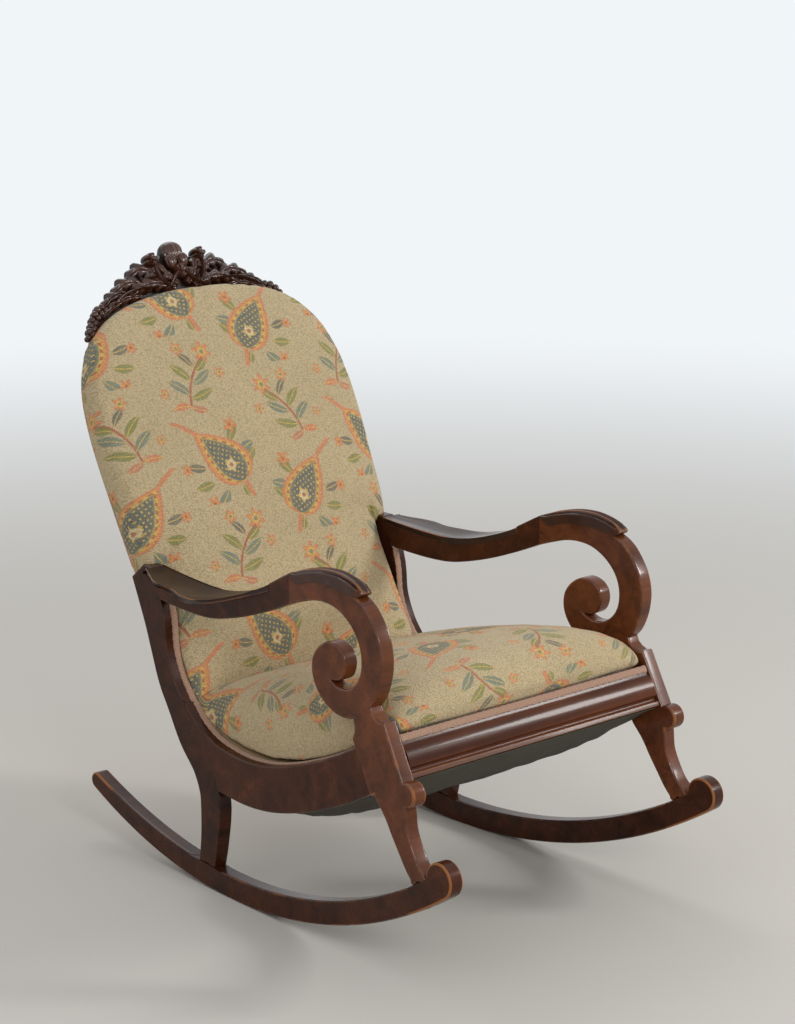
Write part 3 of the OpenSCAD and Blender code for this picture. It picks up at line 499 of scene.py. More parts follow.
def nodeCopy(*names):
    # the meshes of one or more nodes, with doubled points merged
    bm = bmesh.new()
    for name in names:
        bm.from_mesh(nodes[name].data)
    bmesh.ops.remove_doubles(bm, verts=bm.verts, dist=making["merge"])
    return bm


def flatCopy(name):
    # a node's mesh with flat areas made one face each
    bm = nodeCopy(name)
    bmesh.ops.dissolve_limit(bm, angle_limit=math.radians(making["flat"]),
                             verts=bm.verts, edges=bm.edges)
    return bm


def sharpEdges(bm, degrees):
    return [e for e in bm.edges if e.calc_face_angle(0) > math.radians(degrees)]


def rounded(bm, edges, width, segments=3, clamped=True):
    # bevels the edges, and returns the new faces
    made = bmesh.ops.bevel(bm, geom=edges, offset=width, offset_type="OFFSET", segments=segments,
                           profile=0.5, affect="EDGES", clamp_overlap=clamped, material=-1)
    return set(made["faces"])


def markCorners(bm, names, values):
    # stores the values a finish reads by name, from the face and the place of each corner
    layers = [bm.loops.layers.float.new(n) for n in names]
    for face in bm.faces:
        for loop in face.loops:
            for layer, v in zip(layers, values(face, loop.vert.co)):
                loop[layer] = v


def slicedCube(bm, alongCuts, acrossCuts):
    # a unit cube cut into rows along X, then along Y
    bmesh.ops.create_cube(bm, size=1.0)
    for axis, cuts in ((0, alongCuts), (1, acrossCuts)):
        edges = [e for e in bm.edges if abs((e.verts[0].co - e.verts[1].co)[axis]) > 0.5]
        bmesh.ops.subdivide_edges(bm, edges=edges, cuts=cuts, use_grid_fill=True)


# the sawn boards as surfaces, to find what lies against them
boardNames = ("rocker", "rear_post", "side_rail", "front_post", "arm", "scroll",
              "elbow_rest", "arm_cap")
touching = {name: BVHTree.FromPolygons([v.co[:] for v in obj.data.vertices],
                                       [p.vertices[:] for p in obj.data.polygons])
            for name, obj in nodes.items()
            if name == "front_rail" or name.rsplit("_", 1)[0] in boardNames}
arris = {"sharp": 33, "shortest": 0.0012, "joint": 0.0007, "side": 0.97, "crossing": 0.8}


def easedNode(name, finish, width, rubs, long=False):
    # rounds the free arrises of a board, leaves its glued joints tight, and marks rubbed edges
    bm = flatCopy(name)
    others = [t for n, t in touching.items() if n != name]

    def glued(face):
        if abs(face.normal.x) > arris["side"]:
            return False
        middle = face.calc_center_median()
        return any(t.find_nearest(middle, arris["joint"])[0] is not None for t in others)

    joints = {face for face in bm.faces if glued(face)}
    free = [e for e in sharpEdges(bm, arris["sharp"]) if e.calc_length() > arris["shortest"]
            and not joints.intersection(e.link_faces)
            and (long or abs((e.verts[0].co - e.verts[1].co).normalized().x) < arris["crossing"])]
    worn = rounded(bm, free, width, clamped=long)
    markCorners(bm, ["rub"], lambda face, p: [rubs(p) if face in worn else 0.0])
    newPiece(name + "_eased", bm, finish, [name], 30, True)


def forwardOf(p):
    return chair["stance"] - p.y


def rockerRub(p):
    # most at the two tips
    f = forwardOf(p)
    return 0.55 + 0.9 * ease((f - 0.46) / 0.08) + 0.8 * ease((-0.34 - f) / 0.07)


boards = (  # name, finish, rounding, and rub at a place
    ("rocker_", "rockerWood", 0.0032, rockerRub),
    ("rear_post_", "postWood", 0.003, lambda p: 0.45 + 0.4 * ease((p.z - 0.5) / 0.05)),
    ("side_rail_", "railWood", 0.0036, lambda p: 0.25),
    ("front_post_", "scrollWood", 0.004, lambda p: 0.66 + 0.34 * ease(1 - abs(p.z - 0.315) / 0.05)),
    ("arm_", "railWood", 0.003, lambda p: 0.45),
    ("scroll_", "scrollWood", 0.0038, lambda p: 0.66),
)
for word in words.values():
    for board, *look in boards:
        easedNode(board + word, *look)
easedNode("front_rail", "frontWood", 0.002, lambda p: 0.85 if p.z < 0.345 else 0.4, True)
print("boards eased")


# elbow rests
elbow = {
    "start": -0.2215, "end": 0.118, "out": 0.05, "thick": 0.011, "lip": 0.0065, "dish": 0.006,
    # the last entry on this line is the strength of the painted shade on side and under faces
    "roll": 0.0016, "bed": 0.0006, "arris": 0.0024, "cuts": (48, 15), "rub": (0.1, 0.8), "shadeStrength": 0.75,
}
armTop = curveThrough([
    (-0.3, 0.5485), (-0.215, 0.5435), (-0.154, 0.5395), (-0.1, 0.5372), (-0.05, 0.5371),
    (0.0, 0.545), (0.05, 0.5595), (0.105, 0.5807), (0.173, 0.6165), (0.2, 0.63),
])
elbowReach = curveThrough([
    (0, 0.2), (0.07, 0.4), (0.18, 0.7), (0.32, 0.7), (0.45, 0.9), (0.57, 1), (0.68, 0.93),
    (0.8, 0.66), (0.9, 0.34), (1, 0),
], 6)


def elbowRest(side):
    # a board dished on top, with a thin rolled lip that swells and necks along its outer edge
    bm = bmesh.new()
    slicedCube(bm, *elbow["cuts"])
    for v in bm.verts:
        t, across, up = v.co.x + 0.5, v.co.y + 0.5, v.co.z + 0.5
        f = elbow["start"] + (elbow["end"] - elbow["start"]) * t
        reach = elbow["out"] * heightOn(elbowReach, t)
        depth = chair["board"] * (1 - across) - reach * across
        blend = min(1.0, reach / 0.02)
        thick = elbow["thick"] + (elbow["lip"] - elbow["thick"]) * ease((across - 0.35) / 0.6) * blend
        top = heightOn(armTop, f) - elbow["bed"]
        bowl = math.sin(math.pi * min(1, across / 0.93)) * math.sin(math.pi * min(1, t * 1.02)) ** 0.6
        z = top - elbow["dish"] * bowl - elbow["roll"] * ease((across - 0.55) / 0.35) * blend
        if up < 0.5:
            z = top - thick - elbow["roll"] * ease((across - 0.5) / 0.4) * blend
        v.co = (f, z, depth)
    bm.transform(sideMatrix(side))
    lips = rounded(bm, sharpEdges(bm, 50), elbow["arris"])
    bm.normal_update()
    low, high = elbow["rub"]
    # painted shade: side and under faces are darkened, the rounded lip is left clear
    markCorners(bm, ["rub", "hollow"], lambda face, p: (high, 0.0) if face in lips else (
        low, elbow["shadeStrength"] if face.normal.z < 0.35 else 0.0))
    name = "elbow_rest_" + words[side]
    newPiece(name + "_dished", bm, "elbowWood", [name], 45, True)


# arm caps
cap = {"width": 0.031, "rib": 0.0155, "steps": 64, "crowding": 1.35, "start": 0.1745, "end": 0.3562,
       # the last entry on this line is the painted shade on top faces and on side walls
       "narrowing": 0.26, "shadeStrength": (0.45, 0.95)}
capTop = curveThrough([
    (0.15, 0.6136), (0.173, 0.6181), (0.205, 0.6298), (0.25, 0.6408), (0.29, 0.6441),
    (0.32, 0.6408), (0.341, 0.635), (0.352, 0.6282), (0.357, 0.6225),
], 6)
capFoot = curveThrough([
    (0.15, 0.622), (0.16, 0.622), (0.175, 0.6168), (0.186, 0.6071), (0.2, 0.6058),
    (0.229, 0.6149), (0.266, 0.6201), (0.31, 0.6188), (0.341, 0.6146), (0.351, 0.615),
    (0.357, 0.6205),
], 6)


def armCap(side):
    # two beads with a cove between them and one outside each, swept along the top of the scroll
    bm = bmesh.new()
    half, rib, middle = cap["width"] / 2, cap["rib"] / 2, chair["board"] / 2
    section = [(-half, -0.0085), (-half, -0.0062), (-half + 0.001, -0.005), (-half + 0.0024, -0.005),
               (-half + 0.0034, -0.0066), (-rib - 0.0014, -0.0066), (-rib - 0.0008, -0.0026),
               (-rib, -0.0008), (-rib + 0.0013, 0.0), (-rib + 0.0026, -0.001),
               (-rib + 0.004, -0.0034), (-0.0018, -0.0044), (0, -0.0044)]
    section += [(-x, h) for x, h in reversed(section[:-1])]
    rings = []
    for i in range(cap["steps"] + 1):
        t = 1 - (1 - i / cap["steps"]) ** cap["crowding"]
        f = cap["start"] + (cap["end"] - cap["start"]) * t
        top, foot = heightOn(capTop, f), heightOn(capFoot, f) + 0.0002
        grow = ease(t / 0.1)
        narrow = 1.0 - cap["narrowing"] * ease((t - 0.9) / 0.1)
        lift = ease((t - 0.93) / 0.07)
        loop = []
        for x, h in section:
            z = top + h * (0.25 + 0.75 * grow) * (1 - 0.7 * lift)
            loop.append(bm.verts.new((f, max(z, foot + 0.0004), middle + x * narrow)))
        loop += [bm.verts.new((f, foot, middle + x * narrow)) for x in (half, -half)]
        rings.append([bm.edges.new((loop[k], loop[(k + 1) % len(loop)])) for k in range(len(loop))])
    for a, b in zip(rings, rings[1:]):
        bmesh.ops.bridge_loops(bm, edges=a + b)
    for ring in (rings[0], rings[-1]):
        bmesh.ops.contextual_create(bm, geom=ring)

    # painted shade: side walls and the coves between the beads are darker, the beads and the nose are
    # left clear
    def marks(face, p):
        d = abs(p.z - middle)
        ridge = ease(1 - abs(d - rib + 0.001) / 0.0026)
        outer = ease(1 - abs(d - half + 0.0018) / 0.0022)
        nose = ease((p.x - 0.352) / 0.004)
        wall = cap["shadeStrength"][abs(face.normal.z) <= 0.7]
        return 0.1 + 0.95 * ridge + 0.35 * nose, wall * (1 - max(ridge, outer)) * (1 - nose)

    markCorners(bm, ["rub", "hollow"], marks)
    bm.transform(sideMatrix(side))
    name = "arm_cap_" + words[side]
    newPiece(name + "_moulded", bm, "capWood", [name], 50, True)


for side in words:
    elbowRest(side)
    armCap(side)
print("elbow rests and caps made")


# carved crest
crest = {"rear": 0.005, "ground": 0.019, "behind": 0.009, "berry": 0.0068, "knob": 0.0135,
         "fruit": 0.025, "sunk": 0.014, "rub": 0.3}
crestEdge = [
    (0.234, 0.414), (0.232, 0.43), (0.222, 0.45), (0.21, 0.466), (0.197, 0.48), (0.186, 0.484),
    (0.173, 0.485), (0.158, 0.494), (0.144, 0.506), (0.132, 0.512), (0.12, 0.524), (0.104, 0.529),
    (0.089, 0.538), (0.077, 0.542), (0.065, 0.553), (0.053, 0.56), (0.041, 0.557), (0.029, 0.563),
    (0.018, 0.578), (0.0, 0.582),
]
padEdge = [
    (0.2601, 0.384), (0.2306, 0.4245), (0.1914, 0.4538), (0.1392, 0.4734), (0.0725, 0.4851),
    (0.0, 0.489),
]


def crestBoard():
    # the sawn ground of the carving, let down a little behind the padding
    bm = bmesh.new()
    inner = [(x * 0.985, s - crest["behind"]) for x, s in reversed(padEdge) if x < 0.232]
    outer = [(x * 0.965, s - 0.008) for x, s in crestEdge]
    outer[0] = (0.231, 0.413)
    half = inner + outer[1:]
    loop = half + [(-x, s) for x, s in reversed(half) if x > 1e-6]
    face = bm.faces.new([bm.verts.new((x, s, crest["rear"])) for x, s in loop])
    grown = bmesh.ops.extrude_face_region(bm, geom=[face])["geom"]
    bmesh.ops.translate(bm, verts=[g for g in grown if isinstance(g, bmesh.types.BMVert)],
                        vec=(0, 0, crest["ground"] - crest["rear"]))
    return bm


leafCut = {"along": 14, "across": 18, "vein": 0.003, "lobe": 0.0034, "groove": 0.0013}


def carvedLeaf(bm, side, spine, width, lobes, base, lift, cut=0.5, sweep=0.5):
    # an acanthus leaf: deep round lobes, each with its own hollow, and a grooved middle vein
    line = curveThrough([(side * x, s, 0) for x, s in spine], 6)
    made = bmesh.ops.create_grid(bm, x_segments=leafCut["along"] * max(3, lobes),
                                 y_segments=leafCut["across"], size=0.5)["verts"]
    faces = {f for v in made for f in v.link_faces}
    for v in made:
        t, a = v.co.x + 0.5, v.co.y * 2  # a runs from edge to edge of the leaf
        p, d = alongLine(line, t)
        reach = abs(a)
        phase = t * lobes - sweep * reach + sweep
        bulge = abs(math.sin(math.pi * (phase % 1.0) ** 1.5))
        full = math.sin(math.pi * min(1, 0.1 + 0.88 * t ** 0.9)) ** 0.55
        w = width * full * (1 - cut * (1 - bulge ** 0.85) * reach * ease(t * 4))
        n = base + lift * (1 - reach ** 2.2) * full ** 0.5
        n -= leafCut["vein"] * math.exp(-(a / 0.09) ** 2)
        n += leafCut["lobe"] * (bulge ** 0.6 - 0.7) * reach ** 0.6 * ease(t * 4)
        n -= leafCut["groove"] * abs(math.sin(math.pi * phase * 3)) ** 0.5 * reach ** 0.5
        v.co = p + Vector((-d.y, d.x, 0)) * (a * w) + Vector((0, 0, n))
    rim = [e for e in {e for f in faces for e in f.edges}
           if len([f for f in e.link_faces if f in faces]) == 1]
    skirt = bmesh.ops.extrude_edge_only(bm, edges=rim)["geom"]
    low = {g for g in skirt if isinstance(g, bmesh.types.BMVert)}
    for v in low:
        v.co.z = min(base - 0.004, crest["ground"] - 0.002)
    edges = [g for g in skirt if isinstance(g, bmesh.types.BMEdge) and low.issuperset(g.verts)]
    bmesh.ops.contextual_create(bm, geom=[e for e in edges if len(e.link_faces) == 1])


def carvedBall(bm, at, radius, squash, grooves=0, depth=0.0, tall=1.0, fan=0.0):
    # a berry, or a fruit with grooves from pole to pole that fan out towards the top
    sides, tiers = (64, 28) if grooves else (16, 10)
    made = bmesh.ops.create_uvsphere(bm, u_segments=sides, v_segments=tiers, radius=1.0)["verts"]
    bmesh.ops.rotate(bm, verts=made, matrix=Matrix.Rotation(quarter, 3, "X"))
    for v in made:
        a = math.atan2(v.co.z, v.co.x)
        ring = math.sqrt(max(0.0, 1 - v.co.y ** 2))
        k = 1.0 - depth * ring * (1 - abs(math.sin(a * grooves / 2)) ** 0.5) if grooves else 1.0
        wide = 1 + fan * v.co.y
        v.co = Vector((at[0] + v.co.x * radius * k * wide, at[1] + v.co.y * radius * tall,
                       at[2] + v.co.z * radius * squash * k * wide))


def carvedRosette(bm, at, radius, petals, lift):
    made = bmesh.ops.create_uvsphere(bm, u_segments=petals * 8, v_segments=20, radius=1.0)["verts"]
    for v in made:
        a = math.atan2(v.co.y, v.co.x)
        r = math.hypot(v.co.x, v.co.y)
        leafy = abs(math.cos(a * petals / 2))
        z = v.co.z * lift
        if v.co.z > 0:
            domed = 0.55 + 0.45 * r ** 1.2 + 0.5 * math.exp(-(r / 0.28) ** 2)
            z = lift * domed * (0.66 + 0.34 * leafy ** 0.5)
            z *= 1 - 0.6 * ease((r - 0.8) / 0.2)
        edge = 0.76 + 0.24 * leafy ** 0.6
        v.co = Vector((at[0] + v.co.x * radius * edge, at[1] + v.co.y * radius * edge, at[2] + z))


# spine across and up, width, lobes, base and rise of each leaf, from the middle outwards
crestLeaves = [
    ([(0.04, 0.51), (0.066, 0.532), (0.09, 0.536), (0.114, 0.524)], 0.0185, 4, 0.001, 0.01),
    ([(0.078, 0.498), (0.106, 0.514), (0.132, 0.512), (0.156, 0.496)], 0.0165, 4, 0.003, 0.01),
    ([(0.112, 0.488), (0.14, 0.498), (0.164, 0.492), (0.186, 0.476)], 0.0135, 4, 0.002, 0.009),
    ([(0.022, 0.494), (0.062, 0.506), (0.098, 0.502), (0.13, 0.486)], 0.015, 5, 0.009, 0.009),
    ([(0.1, 0.487), (0.136, 0.486), (0.168, 0.474), (0.196, 0.456)], 0.01, 4, 0.008, 0.007),
    ([(0.01, 0.5), (0.026, 0.516), (0.036, 0.53), (0.04, 0.546)], 0.0135, 3, 0.006, 0.01),
    ([(0.06, 0.52), (0.052, 0.53), (0.047, 0.54), (0.046, 0.548)], 0.01, 3, 0.008, 0.006),
]
crestStems = [
    ([(0.05, 0.492), (0.03, 0.5), (0.012, 0.518), (-0.006, 0.536)], 0.0038),
    ([(0.03, 0.494), (0.046, 0.508), (0.052, 0.524), (0.054, 0.54)], 0.0034),
    ([(0.06, 0.498), (0.096, 0.5), (0.134, 0.494), (0.17, 0.476)], 0.003),
]
berryRows = [
    (0.185, 0.478), (0.196, 0.474), (0.205, 0.466), (0.213, 0.457), (0.22, 0.447), (0.226, 0.437),
    (0.231, 0.427), (0.19, 0.466), (0.2, 0.459), (0.208, 0.45), (0.215, 0.44), (0.222, 0.431),
    (0.178, 0.471),
]


def crestCarving():
    bm = crestBoard()
    g = crest["ground"]
    for s in (1, -1):
        for spine, width, lobes, base, rise in crestLeaves:
            carvedLeaf(bm, s, spine, width, lobes, g + base, rise)
        for spine, width in crestStems:
            carvedLeaf(bm, s, spine, width, 1, g + 0.016, 0.006, 0, 0)
        carvedRosette(bm, (s * 0.0545, 0.552, g + 0.002), crest["knob"], 5, 0.018)
        carvedBall(bm, (s * 0.0545, 0.552, g + 0.019), 0.0052, 0.9)
        for i, (x, y) in enumerate(berryRows):
            size = crest["berry"] * (0.92 + 0.05 * ((i * 3) % 4)) * (0.8 if i == 6 else 1.0)
            for k in range(2):
                up = g - 0.004 + 0.0085 * k + 0.001 * (i % 3)
                carvedBall(bm, (s * (x + 0.002 * k), y + 0.001 * k, up), size, 0.95)
    carvedBall(bm, (0.0, 0.559, g - 0.001), crest["fruit"], 0.74, 13, 0.2, 0.96, 0.16)
    for x, y in ((0.0135, 0.544), (-0.0125, 0.543)):
        carvedBall(bm, (x, y, g + 0.01), 0.012, 0.9, 7, 0.16, 1.2, 0.1)
    carvedRosette(bm, (0.0, 0.524, g + 0.008), 0.015, 5, 0.015)
    carvedBall(bm, (0.0, 0.524, g + 0.022), 0.0055, 0.9)
    # painted shade: darker the nearer a point lies to the sawn ground, in the recesses between leaves
    # and fruit
    markCorners(bm, ["rub", "hollow"],
                lambda face, p: (crest["rub"], ease(1 - (p.z - g) / crest["sunk"])))
    bm.transform(backMatrix())
    newPiece("crest_carving", bm, "crestWood", ["carved_crest"], 60)


crestCarving()
print("crest carved")


# upholstery
pad = {"voxel": 0.006, "frames": 16, "pressure": 3.0, "cap": 0.0045, "seatSmooth": 7,
       "backSmooth": 18, "spread": 1.022, "settle": 0.018, "fullEdge": 0.015, "fullMiddle": 0.005,
       "tuck": 0.014, "rear": 0.0045}


def freshMesh(obj, name):
    found = obj.evaluated_get(bpy.context.evaluated_depsgraph_get())
    mesh = bpy.data.meshes.new_from_object(found)
    mesh.name = name
    return mesh


def puffed(name, sources, smoothing):
    # merged copy, even skin, a short pressure run with the swelling capped; the one subdivision is
    # added after, where the pad is placed
    work = placed(name + "_work", meshOf(name, nodeCopy(*sources)))
    m = work.modifiers.new("skin", "REMESH")
    m.mode, m.voxel_size, m.adaptivity = "VOXEL", pad["voxel"], 0.0
    m = work.modifiers.new("smooth", "SMOOTH")
    m.factor, m.iterations = 0.5, smoothing
    mesh = freshMesh(work, name)
    bpy.data.objects.remove(work)
    work = placed(name + "_work", mesh)
    before = [v.co.copy() for v in mesh.vertices]
    m = work.modifiers.new("cloth", "CLOTH")
    m.settings.use_pressure = True
    m.settings.uniform_pressure_force = pad["pressure"]
    m.settings.quality = 4
    m.settings.effector_weights.gravity = 0
    m.collision_settings.use_collision = False
    m.point_cache.frame_start, m.point_cache.frame_end = 1, pad["frames"]
    for f in range(1, pad["frames"] + 1):
        scene.frame_set(f)
    after = freshMesh(work, name)
    scene.frame_set(1)
    bpy.data.objects.remove(work)
    for v, was in zip(after.vertices, before):
        step = v.co - was
        if step.length > pad["cap"]:
            v.co = was + step.normalized() * pad["cap"]
    mesh = after
    return mesh


def unfoldBack(p):
    # cloth coordinates on the back: flat in front, carried on round the edge
    q = onBack(p)
    drop = max(0.0, chair["edge"] - q.z)
    d = Vector((q.x, max(0.0, q.y - chair["straight"])))
    d = d.normalized() if d.length > 1e-6 else Vector((0, 0))
    return q.x + d.x * drop, q.y + d.y * drop


seatLine = curveThrough([
    (-0.108, 0.337), (-0.062, 0.361), (-0.01, 0.385), (0.055, 0.41), (0.125, 0.432),
    (0.195, 0.45), (0.262, 0.465), (0.322, 0.4745), (0.368, 0.4745), (0.404, 0.467),
    (0.427, 0.447), (0.434, 0.424), (0.426, 0.402),
], 4)


def unfoldSeat(p):
    # cloth coordinates on the seat: length along the crown, and width down its sides
    q = Vector((forwardOf(p), p.z))
    best, run, found = 9.0, 0.0, 0.0
    for a, b in zip(seatLine, seatLine[1:]):
        d = b - a
        t = max(0.0, min(1.0, (q - a).dot(d) / d.length_squared))
        gap = (q - (a + d * t)).length
        if gap < best:
            best, found = gap, run + d.length * t
        run += d.length
    return p.x + math.copysign(max(0.0, best - 0.012) * 0.8, p.x), found + 0.06


def clothMap(piece, unfold):
    layer = piece.data.uv_layers.new(name="cloth")
    spots = [unfold(v.co) for v in piece.data.vertices]
    for loop in piece.data.loops:
        layer.data[loop.index].uv = spots[loop.vertex_index]


def paddedPiece(name, sources, smoothing, unfold, keepIn):
    mesh = puffed(name, sources, smoothing)
    for v in mesh.vertices:
        keepIn(v)
    mesh.shade_smooth()
    piece = placed(name, mesh)
    mesh.materials.clear()
    mesh.materials.append(finishes["printed"])
    clothMap(piece, unfold)
    m = piece.modifiers.new("round", "SUBSURF")
    m.levels = m.render_levels = 1
    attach(piece, "root")
    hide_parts(*sources)


def insideBoards(v):
    # presses the seat flat against the side boards
    limit = halfIn(forwardOf(v.co)) - 0.0004
    v.co.x = max(-limit, min(limit, v.co.x * pad["spread"]))


def insideRails(v):
    # tucks the rear edge of the seat under the back, and keeps it between the boards
    v.co.y += pad["tuck"] * ease((v.co.y - 0.05) / 0.07)
    insideBoards(v)


def insidePosts(v):
    # tucks the foot of the back down behind the seat, and fits the rest round the posts
    q = onBack(v.co)
    if q.y < 0.004:
        q.y -= pad["tuck"] * ease((0.0 - q.y) / 0.08)
        v.co = backMatrix() @ q
        insideBoards(v)
        q = onBack(v.co)
    elif abs(q.x) > halfIn(-0.25) - 0.015:
        # the wide upper part settles onto the heads of the posts
        q.y -= pad["settle"] * ease((0.1 - q.y) / 0.09)
    # stuffed out to the front, most along the edges
    crowned = ease((q.z - 0.04) / 0.05)
    full = pad["fullEdge"] + (pad["fullMiddle"] - pad["fullEdge"]) * crowned
    q.z += full * ease(q.z / 0.045) * ease((q.y + 0.05) / 0.12)
    q.z = max(q.z, pad["rear"])
    v.co = backMatrix() @ q


paddedPiece("seat_pad", ["seat_cushion"], pad["seatSmooth"], unfoldSeat, insideRails)
paddedPiece("back_pad", ["back_cushion", "back_edge_pad"], pad["backSmooth"], unfoldBack,
            insidePosts)
print("seat and back padded")


# outer covers
def coverPiece(node, name, unfold, draw=0.0):
    # a flat cover, drawn in so that the padding rolls over its edge
    bm = flatCopy(node)
    foot = chair["straight"]
    for v in bm.verts:
        q = onBack(v.co)
        q.x *= 1 - draw
        q.y = foot + (q.y - foot) * (1 - draw * (q.y > foot))
        v.co = backMatrix() @ q
    rounded(bm, sharpEdges(bm, 50), 0.0008, 2)
    bmesh.ops.triangulate(bm, faces=bm.faces)
    clothMap(newPiece(name, bm, "printed", [node], 45), unfold)


coverPiece("outside_back", "outside_cover", unfoldBack, 0.035)
coverPiece("rear_seat_cover", "rear_cover", unfoldBack)


# gimp
gimp = {"width": 0.0125, "thick": 0.0026, "step": 0.0035, "scallop": 0.0009, "wave": 0.0022,
        "above": 0.01, "reach": 0.018, "inset": 0.0052}


def braidStrip(name, line, lift, across, replaced):
    # a soft ribbon laid along a line; lift is its thickness way and across its width way
    length = sum(stepsOf(line))
    bm = bmesh.new()
    slicedCube(bm, int(length / gimp["step"]), 3)
    marks = {}
    for v in bm.verts:
        t, a, up = v.co.x + 0.5, v.co.y, v.co.z + 0.5
        p, d = alongLine(line, t)
        wide = gimp["width"] + gimp["scallop"] * math.sin(t * length / gimp["wave"])
        crown = gimp["thick"] * (1 - (2 * a) ** 4 * 0.55)
        side, out = across(p, d), lift(p, d)
        marks[v] = (t * length, a + 0.5)
        v.co = p + side * (a * wide) + out * (up * crown)
    uv = bm.loops.layers.uv.new("cloth")
    for face in bm.faces:
        for loop in face.loops:
            loop[uv].uv = marks[loop.vert]
    newPiece(name, bm, "braid", replaced, 70)


# down the rear post's front edge, then along the side rail's top edge
gimpRoute = [
    (-0.1965, 0.4915), (-0.1913, 0.4781), (-0.1865, 0.4601), (-0.1836, 0.436), (-0.1823, 0.4172),
    (-0.1776, 0.3958), (-0.1705, 0.3772), (-0.1624, 0.3613), (-0.1537, 0.3482), (-0.1425, 0.3342),
    (-0.1287, 0.3205), (-0.1073, 0.303), (-0.0875, 0.288), (-0.0619, 0.2757), (-0.0333, 0.2677),
    (0.0032, 0.2628), (0.0357, 0.2613), (0.0685, 0.2632), (0.1035, 0.2683), (0.1424, 0.2779),
    (0.1863, 0.2924), (0.2399, 0.3136), (0.2862, 0.3343), (0.3193, 0.3519), (0.345, 0.3656),
]


def restOnBoards(line, outOf):
    # lets a line down onto the boards under it
    found = []
    for i, p in enumerate(line):
        out = outOf(p, (line[min(i + 1, len(line) - 1)] - line[max(i - 1, 0)]).normalized())
        hits = [t.ray_cast(p + out * gimp["above"], -out, gimp["reach"])[0] for t in touching.values()]
        hits = [h for h in hits if h]
        found.append(max(hits, key=lambda h: (h - p).dot(out)) if hits else p)
    return evened(found, 2)


for side, word in words.items():
    place = sideMatrix(side)
    inward = (place.to_3x3() @ Vector((0, 0, 1))).normalized()

    def outOf(p, d):
        return (d.cross(inward) * -side).normalized()

    line = [place @ Vector((p[0], p[1], chair["board"] - gimp["inset"]))
            for p in curveThrough(gimpRoute, 6)]
    braidStrip("side_gimp_" + word, restOnBoards(line, outOf), outOf, lambda p, d: inward,
               ["seat_gimp_" + word])

railUp = Vector((0, 0.4706, 0.8823))
railOut = Vector((0, -0.8823, 0.4706))
railTop = (0.428, 0.3898)
start = Vector((-halfIn(railTop[0]) + 0.001, chair["stance"] - railTop[0], railTop[1]))
start += railUp * 0.0054
braidStrip("front_gimp_strip", [start, start * Vector((-1, 1, 1))],
           lambda p, d: railOut, lambda p, d: railUp, ["front_gimp"])
print("gimp laid")


# dust cover
dust = {"thick": 0.0011, "sag": 0.005, "fold": 0.0046, "rows": 90, "evened": 8, "edge": 0.84,
        "tackedFrom": -0.04, "width": 0.545}
dustLine = curveThrough([
    (-0.09, 0.1843), (-0.04, 0.1814), (0.03, 0.1749), (0.1, 0.1755), (0.19, 0.1944),
    (0.28, 0.2269), (0.36, 0.2717), (0.4291, 0.3197),
], 6)
dustLine.append(Vector((0.4517, 0.3317)))


def railFoot(forward, low):
    # height of the side rail's lower edge, or the cloth's own line past the rail's ends
    below = Vector((-halfIn(forward) - chair["board"] / 2, chair["stance"] - forward, 0.05))
    hit = touching["side_rail_right"].ray_cast(below, Vector((0, 0, 1)), 0.4)[0]
    return hit.z if hit else low


def dustCover():
    # tacked up to the rails' lower edges, and hanging below them in between
    bm = bmesh.new()
    line = [Vector((q[0], q[1], 0)) for q in dustLine]
    rows = dust["rows"]
    rests = [alongLine(line, i / rows)[0] for i in range(rows + 1)]
    rises = evened([max(0.0, railFoot(p.x, p.y) - p.y) for p in rests], dust["evened"])
    bmesh.ops.create_grid(bm, x_segments=rows, y_segments=rows, size=0.5)
    for v in bm.verts:
        t, a = v.co.x + 0.5, v.co.y * 2
        p, d = alongLine(line, t)
        x = a * (halfIn(p.x) - 0.0006)
        fold = noise.noise(Vector((x * 8, p.x * 34, 1.3)))
        fold += 0.5 * noise.noise(Vector((x * 34, p.x * 10, 4.1)))
        hang = ease((1 - t) / 0.12) * ease(t / 0.12) * (1 - a ** 6)
        side = ease((abs(a) - dust["edge"]) / (1 - dust["edge"]))
        tacked = rises[round(t * rows)] * side * ease((p.x - dust["tackedFrom"]) / 0.06)
        v.co = (x, chair["stance"] - p.x,
                p.y + 0.0003 + tacked + (dust["fold"] * (fold - 0.6) - dust["sag"]) * hang)
    bmesh.ops.solidify(bm, geom=bm.faces, thickness=dust["thick"])
    piece = newPiece("dust_cloth", bm, "cambric", ["dust_cover"], 60)
    sum(stepsOf(dustLine))


dustCover()

# hidden pieces keep their solids
for name, obj in nodes.items():
    finish = {"seat_springs": "spring", "rocker_screws": "screw", "spring_cover": "jute"}.get(
        name, "jute" if "webbing" in name else "plainWood")
    obj.data.materials.clear()
    obj.data.materials.append(finishes[finish])
print("hidden parts finished")


# floor, light and camera
studio = {"floor": (0.64, 0.61, 0.56), "horizon": (0.88, 0.915, 0.94), "sky": (0.95, 0.97, 1.0),
          "size": 18.0, "ends": (1.5, 5.2), "ambient": 0.5}
lights = {  # place, height aimed at, size, power and tint
    "windowKey": ((2.6, -2.5, 2.1), 0.5, (0.55, 0.95), 58.0, (1.0, 0.99, 0.97)),
    "frontFill": ((-1.5, -3.7, 2.4), 0.5, (1.1, 1.1), 34.0, (1.0, 0.99, 0.98)),
    "sideFill": ((-3.4, -0.4, 2.6), 0.5, (2.6, 2.2), 14.0, (0.98, 0.98, 1.0)),
    "topBack": ((0.6, 2.4, 3.2), 0.6, (2.6, 1.6), 26.0, (1.0, 1.0, 1.0)),
}


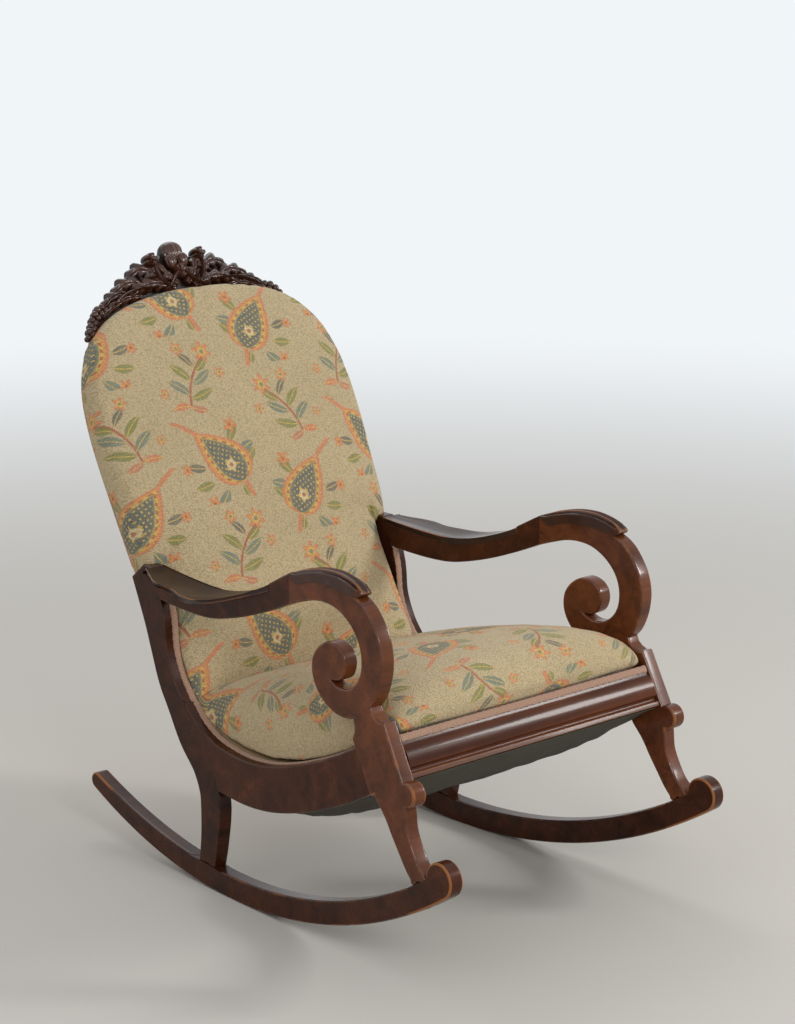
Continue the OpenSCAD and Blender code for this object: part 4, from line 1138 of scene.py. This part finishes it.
def floorFinish():
    # pale near the chair, and the same as the background further off
    f = Finish("paleFloor")
    f.wear(Base_Color=studio["floor"], Roughness=0.75, Specular_IOR_Level=0.25)
    x, y = f.split(f.place())[:2]
    away = (x * x + y * y).maths("SQRT")
    near, far = studio["ends"]
    share = ((away - near) / (far - near)).clamp()
    share = (share * share * (3.0 - share * 2.0)) * f.seen()
    glow = f.node("Emission", {}, {"Color": opaque(studio["horizon"]), "Strength": 1.0})
    shader = Wire(f.tree, f.skin.outputs[0])
    mixed = f.node("MixShader", {}, {0: share, 1: shader, 2: glow})
    f.tree.links.new(mixed.socket, f.tree.nodes["Material Output"].inputs["Surface"])
    return f.material


def floorPlane():
    bm = bmesh.new()
    bmesh.ops.create_circle(bm, cap_ends=True, segments=96, radius=studio["size"] / 2)
    obj = placed("floorPlane", meshOf("floorPlane", bm))
    obj.data.materials.append(floorFinish())


def areaLight(name, at, aim, size, power, tint):
    data = bpy.data.lights.new(name, "AREA")
    data.shape, data.size, data.size_y = "RECTANGLE", *size
    data.energy, data.color = power, tint
    obj = placed(name, data)
    obj.location = at
    obj.rotation_euler = (Vector((0, 0, aim)) - Vector(at)).to_track_quat("-Z", "Y").to_euler()
    obj.visible_camera = False


def studioWorld():
    # soft light for the object, and the pale background wherever it is seen
    scene.world = bpy.data.worlds.new("studio")
    f = Finish("studio", scene.world)
    soft = f.node("Background", {}, {"Color": opaque(studio["sky"]), "Strength": studio["ambient"]})
    pale = f.node("Background", {}, {"Color": opaque(studio["horizon"]), "Strength": 1.0})
    mixed = f.node("MixShader", {}, {0: f.seen(), 1: soft, 2: pale})
    f.tree.links.new(mixed.socket, f.tree.nodes["World Output"].inputs["Surface"])


floorPlane()
studioWorld()
for name, look in lights.items():
    areaLight(name, *look)

lens = {"azimuth": -41.76, "elevation": 14.23, "place": (-3.29528, -3.79537, 1.91183), "focal": 105.47}


def photoCamera():
    data = bpy.data.cameras.new("photoCamera")
    data.sensor_fit, data.sensor_height, data.sensor_width = "VERTICAL", 36.0, 36.0
    data.lens = lens["focal"]
    data.clip_end = 60.0
    obj = placed("photoCamera", data)
    a, e = math.radians(lens["azimuth"]), math.radians(lens["elevation"])
    back = Vector((math.sin(a) * math.cos(e), -math.cos(a) * math.cos(e), math.sin(e)))
    right = Vector((0, 0, 1)).cross(back).normalized()
    up = back.cross(right)
    turn = Matrix((right, up, back)).transposed().to_4x4()
    x, y, z = lens["place"]
    obj.matrix_world = Matrix.Translation((x, y + chair["stance"], z)) @ turn
    scene.camera = obj


photoCamera()
scene.view_settings.view_transform = "Standard"
print("studio set")
